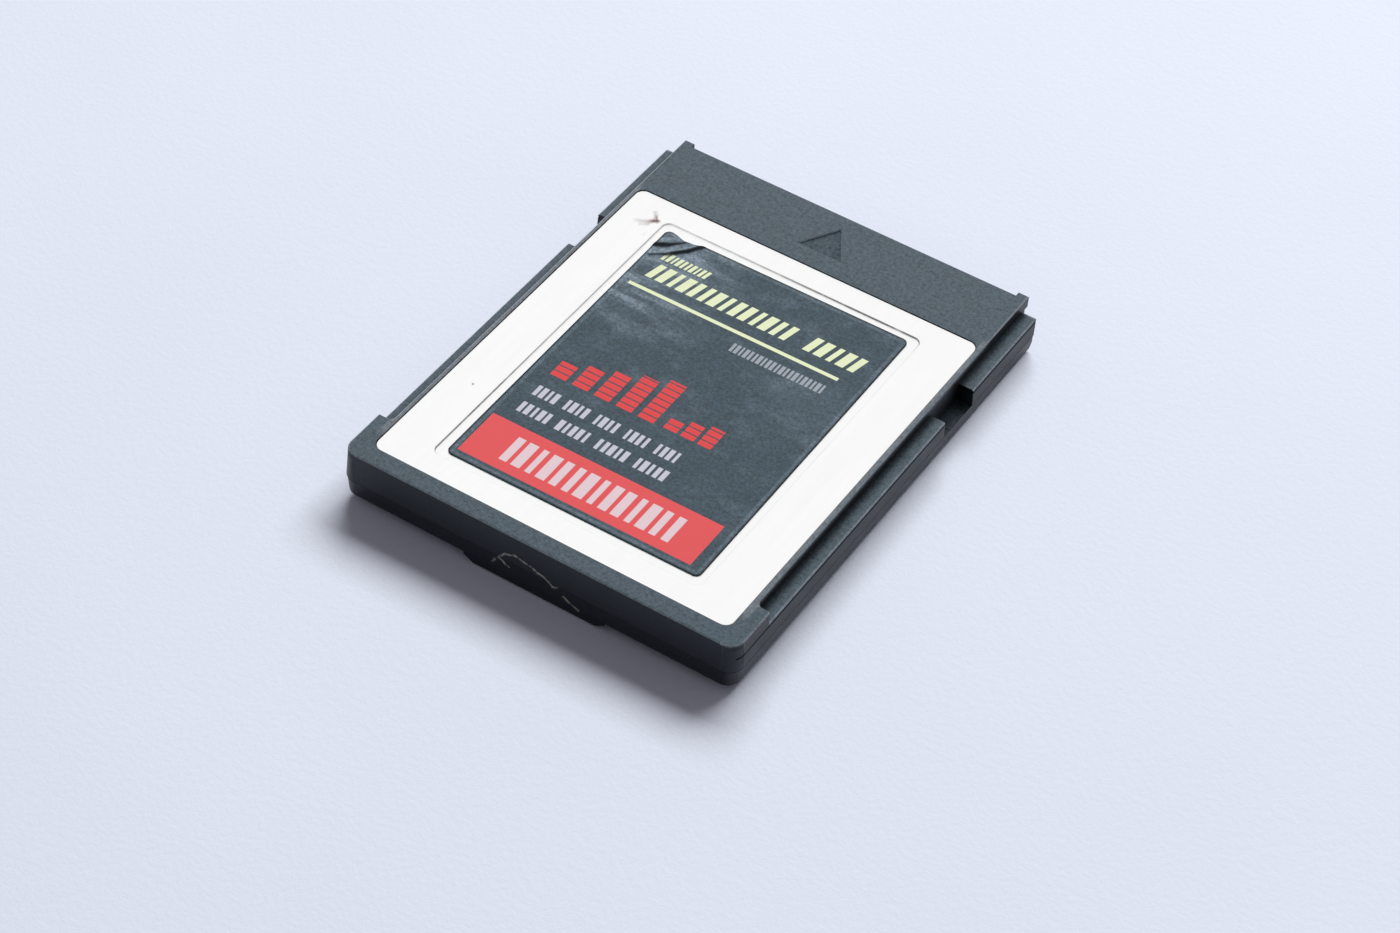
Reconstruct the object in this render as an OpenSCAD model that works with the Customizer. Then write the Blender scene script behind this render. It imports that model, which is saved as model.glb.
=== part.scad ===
// Removable memory card: two black frame mouldings, two steel covers, a label, and inside them
// a circuit board with its chips and a comb of twenty contacts at the insertion end.
// X runs across the card, +Y points to the insertion end and +Z to the labelled side.
// The origin lies under the middle of the card, on the surface that it rests on.

/* [Body] */
// Width over the guide rails
body_w = 29.6; // [29:0.1:33]
// Length over the two ears of the insertion end
body_l = 38.5; // [38:0.1:44]
// Thickness from the underside to the top face
body_t = 3.8; // [3.7:0.05:4.4]
// Corner radius of the rear end, seen from above
corner_r = 1.1; // [0.7:0.05:1.5]
// Rounding of the lower edges
belly_r = 0.3; // [0.15:0.05:0.4]
// Chamfer of the upper edges
edge_c = 0.1; // [0.04:0.01:0.15]
// How far the outer walls lean in from the parting plane to the top and the underside
draft = 0.12; // [0.04:0.02:0.2]
// Height of the parting plane between the two frames above the underside
parting_h = 1.5; // [1.45:0.05:1.7]
// How far the lower frame stands back from the upper one at the parting plane
parting_step = 0.04; // [0.02:0.01:0.08]

/* [Guide rails] */
// Width of each rail, from its outer face to the side of the raised body
rail_w = 1.14; // [0.9:0.02:1.3]
// Drop from the top face to the top of the rails
rail_drop = 0.93; // [0.75:0.01:1.1]
// Length of the full-height flange at the rear end
flange_l = 4.1; // [3.4:0.1:5]
// Rounding of the flange's tips, seen from above
flange_tip_r = 0.4; // [0.2:0.05:0.6]
// Radius between the flange and the side of the raised body
flange_r = 0.45; // [0.2:0.05:0.7]
// How far the rails end short of the ears
nose_set = 0.4; // [0.3:0.05:0.9]
// Rounding of the rail ends into the top of the rails
nose_top_r = 0.55; // [0.3:0.05:0.8]
// How far the rail ends lean back from the parting plane to the underside
nose_lead = 0.45; // [0.2:0.05:0.6]
// Rounding of the rail ends, seen from above
nose_r = 0.6; // [0.3:0.05:0.9]
// Distance from the insertion end to the notches in the rails
notch_set = 9.25; // [7:0.25:12]
// Length of the notches
notch_l = 3.7; // [2.5:0.1:5]
// Thickness of the lip along the top of each rail
lip_t = 0.2; // [0.12:0.02:0.3]
// Height of the fine groove under that lip
lip_groove_h = 0.1; // [0.06:0.02:0.16]
// Depth of the fine groove
lip_groove_d = 0.08; // [0.04:0.01:0.15]

/* [Rear grip] */
// Width of the grip ridge where it ends
grip_w = 8.7; // [6:0.1:12]
// Run of its sloping ends
grip_slope = 0.95; // [0.5:0.05:1.5]
// How far it stands below the underside
grip_drop = 0.55; // [0.3:0.05:0.7]
// Length of the ridge along the card
grip_l = 1.6; // [1.2:0.1:2]
// Rounding of the ridge
grip_r = 0.2; // [0.1:0.05:0.25]

/* [Insertion end] */
// Width of each ear
ear_w = 0.75; // [0.5:0.05:1.2]
// How far the ears stand out past the front wall
ear_l = 0.38; // [0.2:0.02:0.6]
// Width of the recessed arrow
arrow_w = 3.3; // [2:0.1:4]
// Length of the recessed arrow
arrow_l = 2.8; // [2:0.1:3.2]
// Depth of the recessed arrow
arrow_d = 0.12; // [0.05:0.01:0.25]
// Distance from the front wall to the arrow's tip
arrow_set = 1.35; // [0.8:0.05:1.6]

/* [Covers] */
// Sheet thickness of both covers
sheet_t = 0.2; // [0.15:0.01:0.22]
// How far the covers lie below the rim round them
cover_set = 0.05; // [0.02:0.01:0.08]
// Rim beside and behind the top cover
rim_w = 1.45; // [1.35:0.05:1.6]
// Band of frame between the front wall and the top cover
band_l = 5.75; // [5.5:0.05:6.5]
// Corner radius of the top cover
cover_r = 0.7; // [0.4:0.05:1.2]
// Gap round each cover
cover_gap = 0.03; // [0.02:0.01:0.06]
// Width of the shelf that carries the top cover
shelf_w = 0.75; // [0.6:0.05:0.9]
// Margin from the top cover's sides to its pressed label pocket
pocket_side = 3.32; // [2.5:0.02:4]
// Margin from the top cover's ends to the pocket
pocket_end = 1.85; // [1.2:0.05:2.5]
// Corner radius of the pocket
pocket_r = 0.55; // [0.3:0.05:1]
// Depth of the pocket
pocket_d = 0.1; // [0.06:0.01:0.12]
// Rim beside and behind the bottom cover
under_rim_w = 2.2; // [2:0.05:2.4]
// Width of the shelf that carries the bottom cover
under_shelf_w = 0.5; // [0.4:0.05:0.6]
// Corner radius of the opening inside that shelf
tray_r = 0.25; // [0.15:0.05:0.3]
// Length of each cover's clip tabs
tab_l = 2.6; // [2:0.1:3.4]
// How far the tabs reach into the frames
tab_h = 0.7; // [0.5:0.05:0.8]

/* [Label] */
// Gap between the label and the walls of its pocket
label_gap = 0.6; // [0.3:0.05:1]
// Thickness of the label
label_t = 0.07; // [0.04:0.01:0.09]
// Corner radius of the label
label_r = 0.45; // [0.2:0.05:1]
// Angle at which the label was stuck on
label_turn = 0.4; // [0:0.1:0.8]

/* [Connector] */
// Number of contacts
contact_count = 20; // [12:1:20]
// Distance between neighbouring contacts
contact_pitch = 1; // [0.9:0.05:1.1]
// Width of a contact
contact_w = 0.35; // [0.25:0.01:0.4]
// Thickness of the contact strip
contact_t = 0.12; // [0.1:0.01:0.15]
// Width of each slot in the comb
slot_w = 0.55; // [0.45:0.01:0.65]
// Rear wall of the connector housing, which holds the contacts
comb_wall = 1.3; // [1:0.1:1.6]
// Height of the slots' ceiling above the underside
slot_h = 2.35; // [2.25:0.05:2.4]
// Plastic of the housing above the slots
comb_roof = 0.5; // [0.4:0.05:0.55]
// Length of a contact's soldered foot
foot_l = 0.9; // [0.6:0.05:1.1]
// How much shorter the signal contacts are than the power contacts
signal_short = 0.5; // [0.3:0.05:0.8]
// Distance from the front of the housing to the tips of the power contacts
contact_set = 0.45; // [0.3:0.05:0.8]
// Height of the contact points above the underside
contact_h = 0.75; // [0.6:0.05:0.9]
// Height of the curl at a contact's tip
curl_h = 0.42; // [0.25:0.01:0.5]
// How far the housing stands back from the front wall
comb_set = 0.12; // [0.05:0.01:0.3]
// Width of the shoulders that carry the housing
comb_shoulder = 0.5; // [0.3:0.05:0.6]
// Clearance round the connector housing
comb_gap = 0.05; // [0.03:0.01:0.08]

/* [Circuit board] */
// Thickness of the board
board_t = 0.6; // [0.5:0.05:0.65]
// Height of the board's underside above the card's underside
board_h = 1.25; // [1.2:0.05:1.35]
// How far the frames overlap the board's edge
board_lap = 0.45; // [0.35:0.05:0.55]
// Gap round the board
board_gap = 0.08; // [0.05:0.01:0.12]
// Radius of the four pegs that locate the board
peg_r = 0.4; // [0.3:0.05:0.42]
// Distance from each end of the board to its pegs
peg_set = 7; // [4:0.25:9]
// Height of a memory package on the upper side
memory_t = 1; // [0.8:0.05:1.1]
// Height of a memory package on the lower side
memory_low_t = 0.75; // [0.6:0.05:0.8]
// Side of the square controller package
controller_w = 10.5; // [9:0.1:11]
// Height of the controller package
controller_t = 1.05; // [0.8:0.05:1.15]
// Width of the working-memory package
dram_w = 7.6; // [6:0.1:8.5]
// Length of the working-memory package
dram_l = 9.5; // [9:0.1:11]
// Height of the working-memory package
dram_t = 0.9; // [0.7:0.05:1]
// Side of the square power chip
power_w = 4; // [3:0.1:4.5]
// Height of the power chip
power_t = 0.7; // [0.5:0.05:0.75]
// Side of the coils
coil_w = 2.5; // [2:0.1:2.8]
// Height of the coils
coil_t = 0.75; // [0.6:0.05:0.8]
// Length of a capacitor
cap_l = 1; // [0.8:0.05:1.2]
// Width and height of a capacitor
cap_w = 0.5; // [0.4:0.05:0.6]
// Length of the crystal's can
crystal_l = 2; // [1.6:0.1:2.5]
// Width of the crystal's can
crystal_w = 1.6; // [1.2:0.1:1.8]
// Height of the crystal's can
crystal_t = 0.5; // [0.4:0.05:0.7]
// Gap between the rows of packages
row_gap = 1.2; // [0.9:0.1:1.5]
// Gap between the memory packages and the walls beside them
memory_gap = 0.2; // [0.15:0.05:0.4]
// Margin round a heat pad inside the overlap of its package and the pocket
pad_set = 0.75; // [0.5:0.05:1]

/* [Hidden] */
$fn = 48;
FRAME_BLACK = [0.10, 0.115, 0.13];
STEEL = [0.80, 0.81, 0.82];
LABEL_GREY = [0.23, 0.26, 0.29];
COMB_BLACK = [0.06, 0.06, 0.07];
GOLD = [0.85, 0.66, 0.28];
BOARD_GREEN = [0.06, 0.25, 0.16];
PACKAGE_BLACK = [0.13, 0.13, 0.14];
FERRITE_GREY = [0.30, 0.30, 0.31];
CAP_BROWN = [0.55, 0.43, 0.30];
PAD_BLUE = [0.45, 0.55, 0.68];

MEMORY_COUNT = 4;
COIL_COUNT = 3;
CAP_COUNT = 8;
OVER = 1;

// Heights
under_z = grip_drop;
top_z = under_z + body_t;
part_z = under_z + parting_h;
rail_z = top_z - rail_drop;
cover_z = top_z - cover_set - sheet_t;
pocket_z = top_z - cover_set - pocket_d;
under_cover_z = under_z + cover_set;
board_z = under_z + board_h;
board_top_z = board_z + board_t;
slot_z = under_z + slot_h;
comb_top_z = slot_z + comb_roof;
shoulder_z = under_z + parting_h / 2;

// Outlines seen from above
half_w = body_w / 2;
rear_y = -body_l / 2;
tip_y = body_l / 2;
front_y = tip_y - ear_l;
flange_y = rear_y + flange_l;
nose_y = tip_y - nose_set;
side_x = half_w - rail_w;
notch_y = tip_y - notch_set - notch_l;
cover_w = body_w - 2 * rim_w;
cover_y0 = rear_y + rim_w;
cover_y1 = front_y - band_l;
well_x = cover_w / 2 - shelf_w;
well_y0 = cover_y0 + shelf_w;
well_y1 = cover_y1 - shelf_w;
under_cover_w = body_w - 2 * under_rim_w;
under_y0 = rear_y + under_rim_w;
board_x = well_x + board_lap - board_gap;
board_y0 = well_y0 - board_lap + board_gap;
bay_x = board_x + board_gap;
comb_y0 = cover_y1 - shelf_w + comb_gap;
comb_y1 = front_y - comb_set;
comb_x = bay_x - comb_gap;
board_y1 = comb_y0 - comb_gap;
under_y1 = board_y1 - board_lap + under_shelf_w;
pocket_w = cover_w - 2 * pocket_side;
pocket_l = cover_y1 - cover_y0 - 2 * pocket_end;
pocket_y = (cover_y0 + cover_y1) / 2;
label_w = pocket_w - 2 * label_gap;
label_l = pocket_l - 2 * label_gap;
tray_x = under_cover_w / 2 - under_shelf_w;
tray_y0 = under_y0 + under_shelf_w;

// Rows of packages, from the contacts' feet towards the rear
row_front_y = comb_y0 - foot_l - row_gap;
row_y = row_front_y - max(controller_w, dram_l);
memory_w = tray_x - memory_gap - row_gap / 2;
memory_l = row_y - row_gap - tray_y0 - memory_gap;
memory_x = (memory_w + row_gap) / 2;
memory_y = tray_y0 + memory_gap + memory_l / 2;
controller_x = controller_w / 2 - tray_x + memory_gap;
controller_y = row_front_y - controller_w / 2;
dram_x = controller_x + (controller_w + dram_w) / 2 + row_gap;
dram_y = row_front_y - dram_l / 2;
power_x = power_w / 2 - tray_x + row_gap;
peg_x = bay_x - peg_r - board_gap;
PEG_YS = [board_y0 + peg_set, board_y1 - peg_set];

function pad2(i) = i < 10 ? str("0", i) : str(i);
CONTACTS = [for (i = [1:contact_count]) str("contact_", pad2(i))];
MEMORIES = [for (i = [1:MEMORY_COUNT]) str("memory_", i)];
COILS = [for (i = [1:COIL_COUNT]) str("coil_", i)];
CAPS = [for (i = [1:CAP_COUNT]) str("capacitor_", i)];

// Outline with one corner radius at its rear end and another at its front end
module plan(w, y0, y1, r0, r1) {
    translate([-w / 2, y0 + r0]) square([w, y1 - y0 - r0 - r1]);
    translate([r0 - w / 2, y0]) square([w - 2 * r0, (y1 - y0) / 2]);
    translate([r1 - w / 2, (y0 + y1) / 2]) square([w - 2 * r1, (y1 - y0) / 2]);
    for (s = [-1, 1]) {
        translate([s * (w / 2 - r0), y0 + r0]) circle(r0);
        translate([s * (w / 2 - r1), y1 - r1]) circle(r1);
    }
}

module slab(z0, z1) {
    translate([0, 0, z0]) linear_extrude(z1 - z0) children();
}

// Turns an outline drawn across and up into a bar along the card
module along_y(y0, y1) {
    translate([0, y1, 0]) rotate([90, 0, 0]) linear_extrude(y1 - y0) children();
}

// Turns an outline drawn along and up into a bar across the card
module along_x(w) {
    translate([-w / 2, 0, 0]) rotate([90, 0, 90]) linear_extrude(w) children();
}

// Cross-section above the parting plane: leaning walls and chamfered upper edges
module crown_section(half, z1) {
    lean = draft * (z1 - part_z) / (top_z - part_z);
    top = half - lean;
    polygon([
        [-half, part_z], [half, part_z],
        [top, z1 - edge_c], [top - edge_c, z1],
        [edge_c - top, z1], [-top, z1 - edge_c]]);
}

// Cross-section below the parting plane: leaning walls and round lower edges
module belly_section(half) {
    foot = half - draft;
    polygon([
        [belly_r - foot, under_z], [foot - belly_r, under_z], [foot, under_z + belly_r],
        [half, part_z], [-half, part_z], [-foot, under_z + belly_r]]);
    for (s = [-1, 1]) translate([s * (foot - belly_r), under_z + belly_r]) circle(belly_r);
}

// Long section above the parting plane, leaning at the rear and chamfered by c at the front
module crown_profile(z1, y1, c) {
    lean = draft * (z1 - part_z) / (top_z - part_z);
    polygon([
        [rear_y, part_z], [y1, part_z], [y1, z1 - c], [y1 - c, z1],
        [rear_y + lean + edge_c, z1], [rear_y + lean, z1 - edge_c]]);
}

// Long section below the parting plane, leaning and rounded at both ends
module belly_profile(y1, lead) {
    back = rear_y + parting_step;
    foot = back + draft;
    toe = y1 - lead;
    polygon([
        [foot + belly_r, under_z], [toe - belly_r, under_z], [toe, under_z + belly_r],
        [y1, part_z], [back, part_z], [foot, under_z + belly_r]]);
    for (y = [foot + belly_r, toe - belly_r]) translate([y, under_z + belly_r]) circle(belly_r);
}

// Squares that the two rear corners take up, seen from above
module corner_squares(w, y0, r) {
    for (s = [-1, 1]) translate([s * (w / 2 + (OVER - r) / 2), y0 + (r - OVER) / 2])
        square(r + OVER, center = true);
}

// Puts the children at the axes of the two rear corners
module at_corners(w, y0, r) {
    for (s = [-1, 1]) translate([s * (w / 2 - r), y0 + r, 0]) children();
}

// Turned corner above the parting plane, with the leaning wall and the upper chamfer
module crown_corner(r) {
    rotate_extrude() polygon([
        [0, part_z], [r, part_z], [r - draft, top_z - edge_c], [r - draft - edge_c, top_z], [0, top_z]]);
}

// Turned corner below the parting plane, with the leaning wall and the round lower edge
module belly_corner(r) {
    foot = r - draft;
    rotate_extrude() intersection() {
        union() {
            polygon([
                [0, under_z], [foot - belly_r, under_z], [foot, under_z + belly_r],
                [r, part_z], [0, part_z]]);
            translate([foot - belly_r, under_z + belly_r]) circle(belly_r);
        }
        translate([0, under_z]) square([r, part_z - under_z]);
    }
}

// Fillets between the flange and the sides of the raised body, seen from above
module flange_fillets() {
    for (s = [-1, 1]) difference() {
        translate([s * (side_x + flange_r / 2), flange_y + flange_r / 2]) square(flange_r, center = true);
        translate([s * (side_x + flange_r), flange_y + flange_r]) circle(flange_r);
    }
}

module rails() {
    difference() {
        intersection() {
            slab(part_z, rail_z) plan(body_w, flange_y - OVER, nose_y, edge_c, nose_r);
            along_y(flange_y - OVER, nose_y) crown_section(half_w, rail_z);
            along_x(body_w) {
                crown_profile(rail_z, nose_y, nose_top_r);
                translate([nose_y - nose_top_r, rail_z - nose_top_r]) circle(nose_top_r);
            }
        }
        for (s = [-1, 1]) {
            translate([s * half_w, (flange_y + nose_y + OVER) / 2, rail_z - lip_t - lip_groove_h / 2])
                cube([2 * lip_groove_d + draft, nose_y - flange_y + OVER, lip_groove_h], center = true);
            translate([s * (side_x + rail_w), notch_y + notch_l / 2, part_z + rail_drop + OVER])
                cube([2 * rail_w, notch_l, 2 * (rail_drop + OVER)], center = true);
        }
    }
}

// What the rounding of the flange's tips takes away, seen from above
module tip_cuts() {
    for (s = [-1, 1]) difference() {
        translate([s * half_w, flange_y]) square(2 * flange_tip_r, center = true);
        translate([s * (half_w - flange_tip_r), flange_y - flange_tip_r]) circle(flange_tip_r);
    }
}

module flange() {
    difference() {
        intersection() {
            along_y(rear_y, flange_y) crown_section(half_w, top_z);
            along_x(body_w) crown_profile(top_z, flange_y, edge_c);
        }
        slab(part_z - OVER, top_z + OVER) corner_squares(body_w, rear_y, corner_r);
        slab(rail_z - edge_c, top_z + OVER) tip_cuts();
    }
    at_corners(body_w, rear_y, corner_r) crown_corner(corner_r);
    slab(rail_z - edge_c, top_z - edge_c) flange_fillets();
}

module raised_body() {
    intersection() {
        along_y(flange_y - OVER, tip_y) crown_section(side_x + draft, top_z);
        along_x(body_w) crown_profile(top_z, front_y, edge_c);
        slab(part_z, top_z) translate([-side_x, flange_y - OVER])
            square([2 * side_x, front_y - flange_y + OVER]);
    }
    for (s = [-1, 1]) intersection() {
        translate([s * (side_x - ear_w / 2), (front_y + tip_y - OVER) / 2, (rail_z + top_z) / 2])
            cube([ear_w, ear_l + OVER, rail_drop], center = true);
        along_y(front_y - OVER, tip_y) crown_section(side_x + draft, top_z);
        along_x(body_w) crown_profile(top_z, tip_y, edge_c);
    }
}

module arrow_recess() {
    slab(top_z - arrow_d, top_z + OVER) polygon([
        [0, front_y - arrow_set],
        [-arrow_w / 2, front_y - arrow_set - arrow_l],
        [arrow_w / 2, front_y - arrow_set - arrow_l]]);
}

// Slots in which the clip tabs of a cover sit, or the tabs themselves when gap is 0
module tabs(w, y0, y1, z0, z1, gap) {
    for (s = [-1, 1], k = [1, 2]) {
        y = y0 + (y1 - y0) * k / 3;
        translate([s * (w / 2 - cover_gap - sheet_t / 2), y, (z0 + z1) / 2])
            cube([sheet_t + 2 * gap, tab_l + 2 * gap, z1 - z0], center = true);
    }
}

// Upper moulding: rim, raised body, rear flange, notched rails and the roof over the connector
module upper_frame() {
    color(FRAME_BLACK) difference() {
        union() {
            rails();
            flange();
            raised_body();
        }
        slab(cover_z, top_z + OVER) plan(cover_w, cover_y0, cover_y1, cover_r, cover_r);
        slab(board_top_z, top_z) plan(2 * well_x, well_y0, well_y1, cover_r, cover_r);
        slab(part_z - OVER, board_top_z)
            translate([-bay_x, board_y0 - board_gap]) square([2 * bay_x, tip_y - board_y0 + OVER]);
        slab(board_top_z - OVER, comb_top_z)
            translate([-bay_x, comb_y0 - comb_gap]) square([2 * bay_x, tip_y - comb_y0 + OVER]);
        tabs(cover_w, cover_y0, cover_y1, cover_z - tab_h, cover_z + OVER, cover_gap);
        arrow_recess();
    }
}

// Ridge under the rear end, by which a finger pulls the card out
module grip_ridge() {
    back = rear_y + parting_step + draft;
    intersection() {
        along_y(back, back + grip_l) polygon([
            [-grip_w / 2, 0], [grip_w / 2, 0],
            [grip_w / 2 + grip_slope, under_z], [grip_w / 2 + grip_slope, under_z + belly_r],
            [-grip_w / 2 - grip_slope, under_z + belly_r], [-grip_w / 2 - grip_slope, under_z]]);
        along_x(body_w) {
            translate([back, grip_r]) square([grip_l, under_z + belly_r - grip_r]);
            translate([back + grip_r, 0]) square([grip_l - 2 * grip_r, under_z]);
            for (y = [back + grip_r, back + grip_l - grip_r]) translate([y, grip_r]) circle(grip_r);
        }
    }
}

// Lower moulding: the tray for the board, open at the insertion end for the connector
module lower_frame() {
    w = body_w - 2 * parting_step;
    back = rear_y + parting_step;
    r = corner_r - parting_step;
    color(FRAME_BLACK) difference() {
        union() {
            difference() {
                intersection() {
                    slab(under_z, part_z) plan(w, back, nose_y, edge_c, nose_r);
                    along_y(rear_y, nose_y) belly_section(w / 2);
                    along_x(body_w) belly_profile(nose_y, nose_lead);
                }
                slab(under_z - OVER, part_z + OVER) corner_squares(w, back, r);
            }
            at_corners(w, back, r) belly_corner(r);
            grip_ridge();
        }
        slab(under_z - OVER, under_cover_z + sheet_t)
            plan(under_cover_w, under_y0, under_y1, cover_r, cover_r);
        slab(under_z, board_z)
            plan(2 * tray_x, tray_y0, under_y1 - under_shelf_w, tray_r, tray_r);
        slab(board_z, part_z + OVER)
            translate([-bay_x, board_y0 - board_gap]) square([2 * bay_x, tip_y - board_y0 + OVER]);
        slab(shoulder_z, part_z + OVER)
            translate([-bay_x, comb_y0 - comb_gap]) square([2 * bay_x, tip_y - comb_y0 + OVER]);
        slab(under_z - OVER, shoulder_z + OVER)
            translate([comb_shoulder - bay_x, comb_y0 - comb_gap])
                square([2 * (bay_x - comb_shoulder), tip_y - comb_y0 + OVER]);
        tabs(under_cover_w, under_y0, under_y1, under_z, under_cover_z + sheet_t + tab_h, cover_gap);
    }
    color(FRAME_BLACK) for (s = [-1, 1], y = PEG_YS)
        translate([s * peg_x, y, board_z - belly_r]) cylinder(r = peg_r, h = board_t);
}

// Steel sheet with the pressed pocket for the label and four clip tabs
module top_cover() {
    color(STEEL) {
        difference() {
            union() {
                slab(cover_z, cover_z + sheet_t)
                    plan(cover_w - 2 * cover_gap, cover_y0 + cover_gap, cover_y1 - cover_gap,
                        cover_r - cover_gap, cover_r - cover_gap);
                slab(pocket_z - sheet_t, cover_z + sheet_t)
                    plan(pocket_w + sheet_t, pocket_y - (pocket_l + sheet_t) / 2,
                        pocket_y + (pocket_l + sheet_t) / 2, pocket_r, pocket_r);
                tabs(cover_w, cover_y0, cover_y1, cover_z - tab_h, cover_z + sheet_t / 2, 0);
            }
            slab(pocket_z, top_z)
                plan(pocket_w, pocket_y - pocket_l / 2, pocket_y + pocket_l / 2, pocket_r, pocket_r);
        }
    }
}

// Plain steel sheet on the underside, with four clip tabs
module bottom_cover() {
    color(STEEL) {
        slab(under_cover_z, under_cover_z + sheet_t)
            plan(under_cover_w - 2 * cover_gap, under_y0 + cover_gap, under_y1 - cover_gap,
                cover_r - cover_gap, cover_r - cover_gap);
        tabs(under_cover_w, under_y0, under_y1, under_cover_z + sheet_t / 2,
            under_cover_z + sheet_t + tab_h, 0);
    }
}

// Film label, stuck on slightly askew in its pocket
module label() {
    color(LABEL_GREY) translate([0, pocket_y, 0]) rotate(label_turn)
        slab(pocket_z, pocket_z + label_t) plan(label_w, -label_l / 2, label_l / 2, label_r, label_r);
}

function contact_x(i) = (i - (contact_count - 1) / 2) * contact_pitch;

// Every fifth contact carries power and reaches further forward
function contact_reach(i) = comb_y1 - contact_set - (i % 5 == 0 ? 0 : signal_short);

// Centre line of a contact from its soldered foot to the curled tip of its spring arm
function contact_line(i) =
    let (
        seat = board_top_z + contact_t / 2,
        inner = comb_y0 + comb_wall,
        reach = contact_reach(i),
        arm = reach - inner,
        dip = under_z + contact_h)
    [
        [comb_y0 - foot_l, seat],
        [inner, seat],
        [inner + arm * 0.25, seat - contact_t],
        [inner + arm * 0.72, dip + contact_t],
        [inner + arm * 0.82, dip],
        [inner + arm * 0.9, dip + curl_h / 5],
        [reach, dip + curl_h]];

function unit(v) = v / norm(v);
function left_of(v) = [-v[1], v[0]];

// Normal of the strip at point k, stretched so that the strip keeps its thickness at a bend
function strip_normal(line, k) =
    let (
        a = unit(line[max(k, 1)] - line[max(k, 1) - 1]),
        b = unit(line[min(k, len(line) - 2) + 1] - line[min(k, len(line) - 2)]),
        n = unit(left_of(a) + left_of(b)))
    n / (n * left_of(a));

function strip_side(line, t) = [for (k = [0:len(line) - 1]) line[k] + strip_normal(line, k) * t / 2];

module contact_outline(i) {
    line = contact_line(i);
    upper = strip_side(line, contact_t);
    lower = strip_side(line, -contact_t);
    polygon(concat(upper, [for (k = [len(line) - 1:-1:0]) lower[k]]));
}

module contact(i) {
    color(GOLD) translate([contact_x(i), 0, 0]) along_x(contact_w) contact_outline(i);
}

// Comb of open slots, one for each contact, on shoulders that rest in the lower frame
module connector_housing() {
    low_x = bay_x - comb_shoulder - comb_gap;
    seat_z = board_top_z;
    color(COMB_BLACK) difference() {
        union() {
            slab(shoulder_z, comb_top_z)
                translate([-comb_x, comb_y0]) square([2 * comb_x, comb_y1 - comb_y0]);
            slab(under_cover_z, shoulder_z)
                translate([-low_x, comb_y0]) square([2 * low_x, comb_y1 - comb_y0]);
        }
        for (i = [0:contact_count - 1]) translate([contact_x(i), 0, 0]) {
            translate([-slot_w / 2, comb_y0 + comb_wall, under_z - OVER])
                cube([slot_w, comb_y1, slot_z - under_z + OVER]);
            translate([-contact_w / 2, comb_y0 - OVER, seat_z])
                cube([contact_w, comb_wall + 2 * OVER, contact_t]);
        }
    }
}

// Board with a round-ended notch in its edge at each peg
module circuit_board() {
    notch = peg_r + board_gap;
    color(BOARD_GREEN) slab(board_z, board_top_z) difference() {
        translate([-board_x, board_y0]) square([2 * board_x, board_y1 - board_y0]);
        for (s = [-1, 1], y = PEG_YS) translate([s * peg_x, y]) {
            circle(notch);
            translate([s * body_w / 2, 0]) square([body_w, 2 * notch], center = true);
        }
    }
}

// A flat package on the board's upper side
module package_up(x, y, w, l, t) {
    translate([x - w / 2, y - l / 2, board_top_z]) cube([w, l, t]);
}

// A flat package on the board's lower side
module package_down(x, y, w, l, t) {
    translate([x - w / 2, y - l / 2, board_z - t]) cube([w, l, t]);
}

// Packages 1 and 2 lie on the upper side, 3 and 4 back to back with them on the lower side
module memory(k) {
    x = k % 2 == 1 ? -memory_x : memory_x;
    color(PACKAGE_BLACK) {
        if (k <= 2) package_up(x, memory_y, memory_w, memory_l, memory_t);
        else package_down(x, memory_y, memory_w, memory_l, memory_low_t);
    }
}

module controller() {
    color(PACKAGE_BLACK) package_up(controller_x, controller_y, controller_w, controller_w, controller_t);
}

module working_memory() {
    color(PACKAGE_BLACK) package_up(dram_x, dram_y, dram_w, dram_l, dram_t);
}

module power_chip() {
    color(PACKAGE_BLACK) package_down(power_x, row_y + power_w / 2, power_w, power_w, power_t);
}

module coil(k) {
    x = power_x + power_w / 2 + coil_w / 2 + row_gap + (k - 1) * (coil_w + row_gap);
    color(FERRITE_GREY) package_down(x, row_y + coil_w / 2, coil_w, coil_w, coil_t);
}

module crystal() {
    color(STEEL) package_down(power_x, row_y + power_w + row_gap + crystal_w / 2, crystal_l, crystal_w, crystal_t);
}

module capacitor(k) {
    x = power_x + power_w / 2 + row_gap + (k - 0.5) * (cap_l + row_gap / 2);
    color(CAP_BROWN) package_down(x, row_y + power_w + row_gap + cap_w / 2, cap_l, cap_w, cap_w);
}

// Soft pad between a package and the floor of the label pocket, inside their overlap
module heat_pad(x, y, w, l, t) {
    z0 = board_top_z + t;
    x0 = max(x - w / 2, -pocket_w / 2) + pad_set;
    x1 = min(x + w / 2, pocket_w / 2) - pad_set;
    y0 = max(y - l / 2, pocket_y - pocket_l / 2) + pad_set;
    y1 = min(y + l / 2, pocket_y + pocket_l / 2) - pad_set;
    color(PAD_BLUE) translate([x0, y0, z0]) cube([x1 - x0, y1 - y0, pocket_z - sheet_t - z0]);
}

module controller_pad() {
    heat_pad(controller_x, controller_y, controller_w, controller_w, controller_t);
}

module memory_pad(s) {
    heat_pad(s * memory_x, memory_y, memory_w, memory_l, memory_t);
}

upper_frame();
lower_frame();
top_cover();
bottom_cover();
label();
connector_housing();
for (i = [0:contact_count - 1]) contact(i);
circuit_board();
controller();
working_memory();
power_chip();
crystal();
for (k = [1:MEMORY_COUNT]) memory(k);
for (k = [1:COIL_COUNT]) coil(k);
for (k = [1:CAP_COUNT]) capacitor(k);
controller_pad();
memory_pad(-1);  // memory_pad_left
memory_pad(1);  // memory_pad_right
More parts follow.
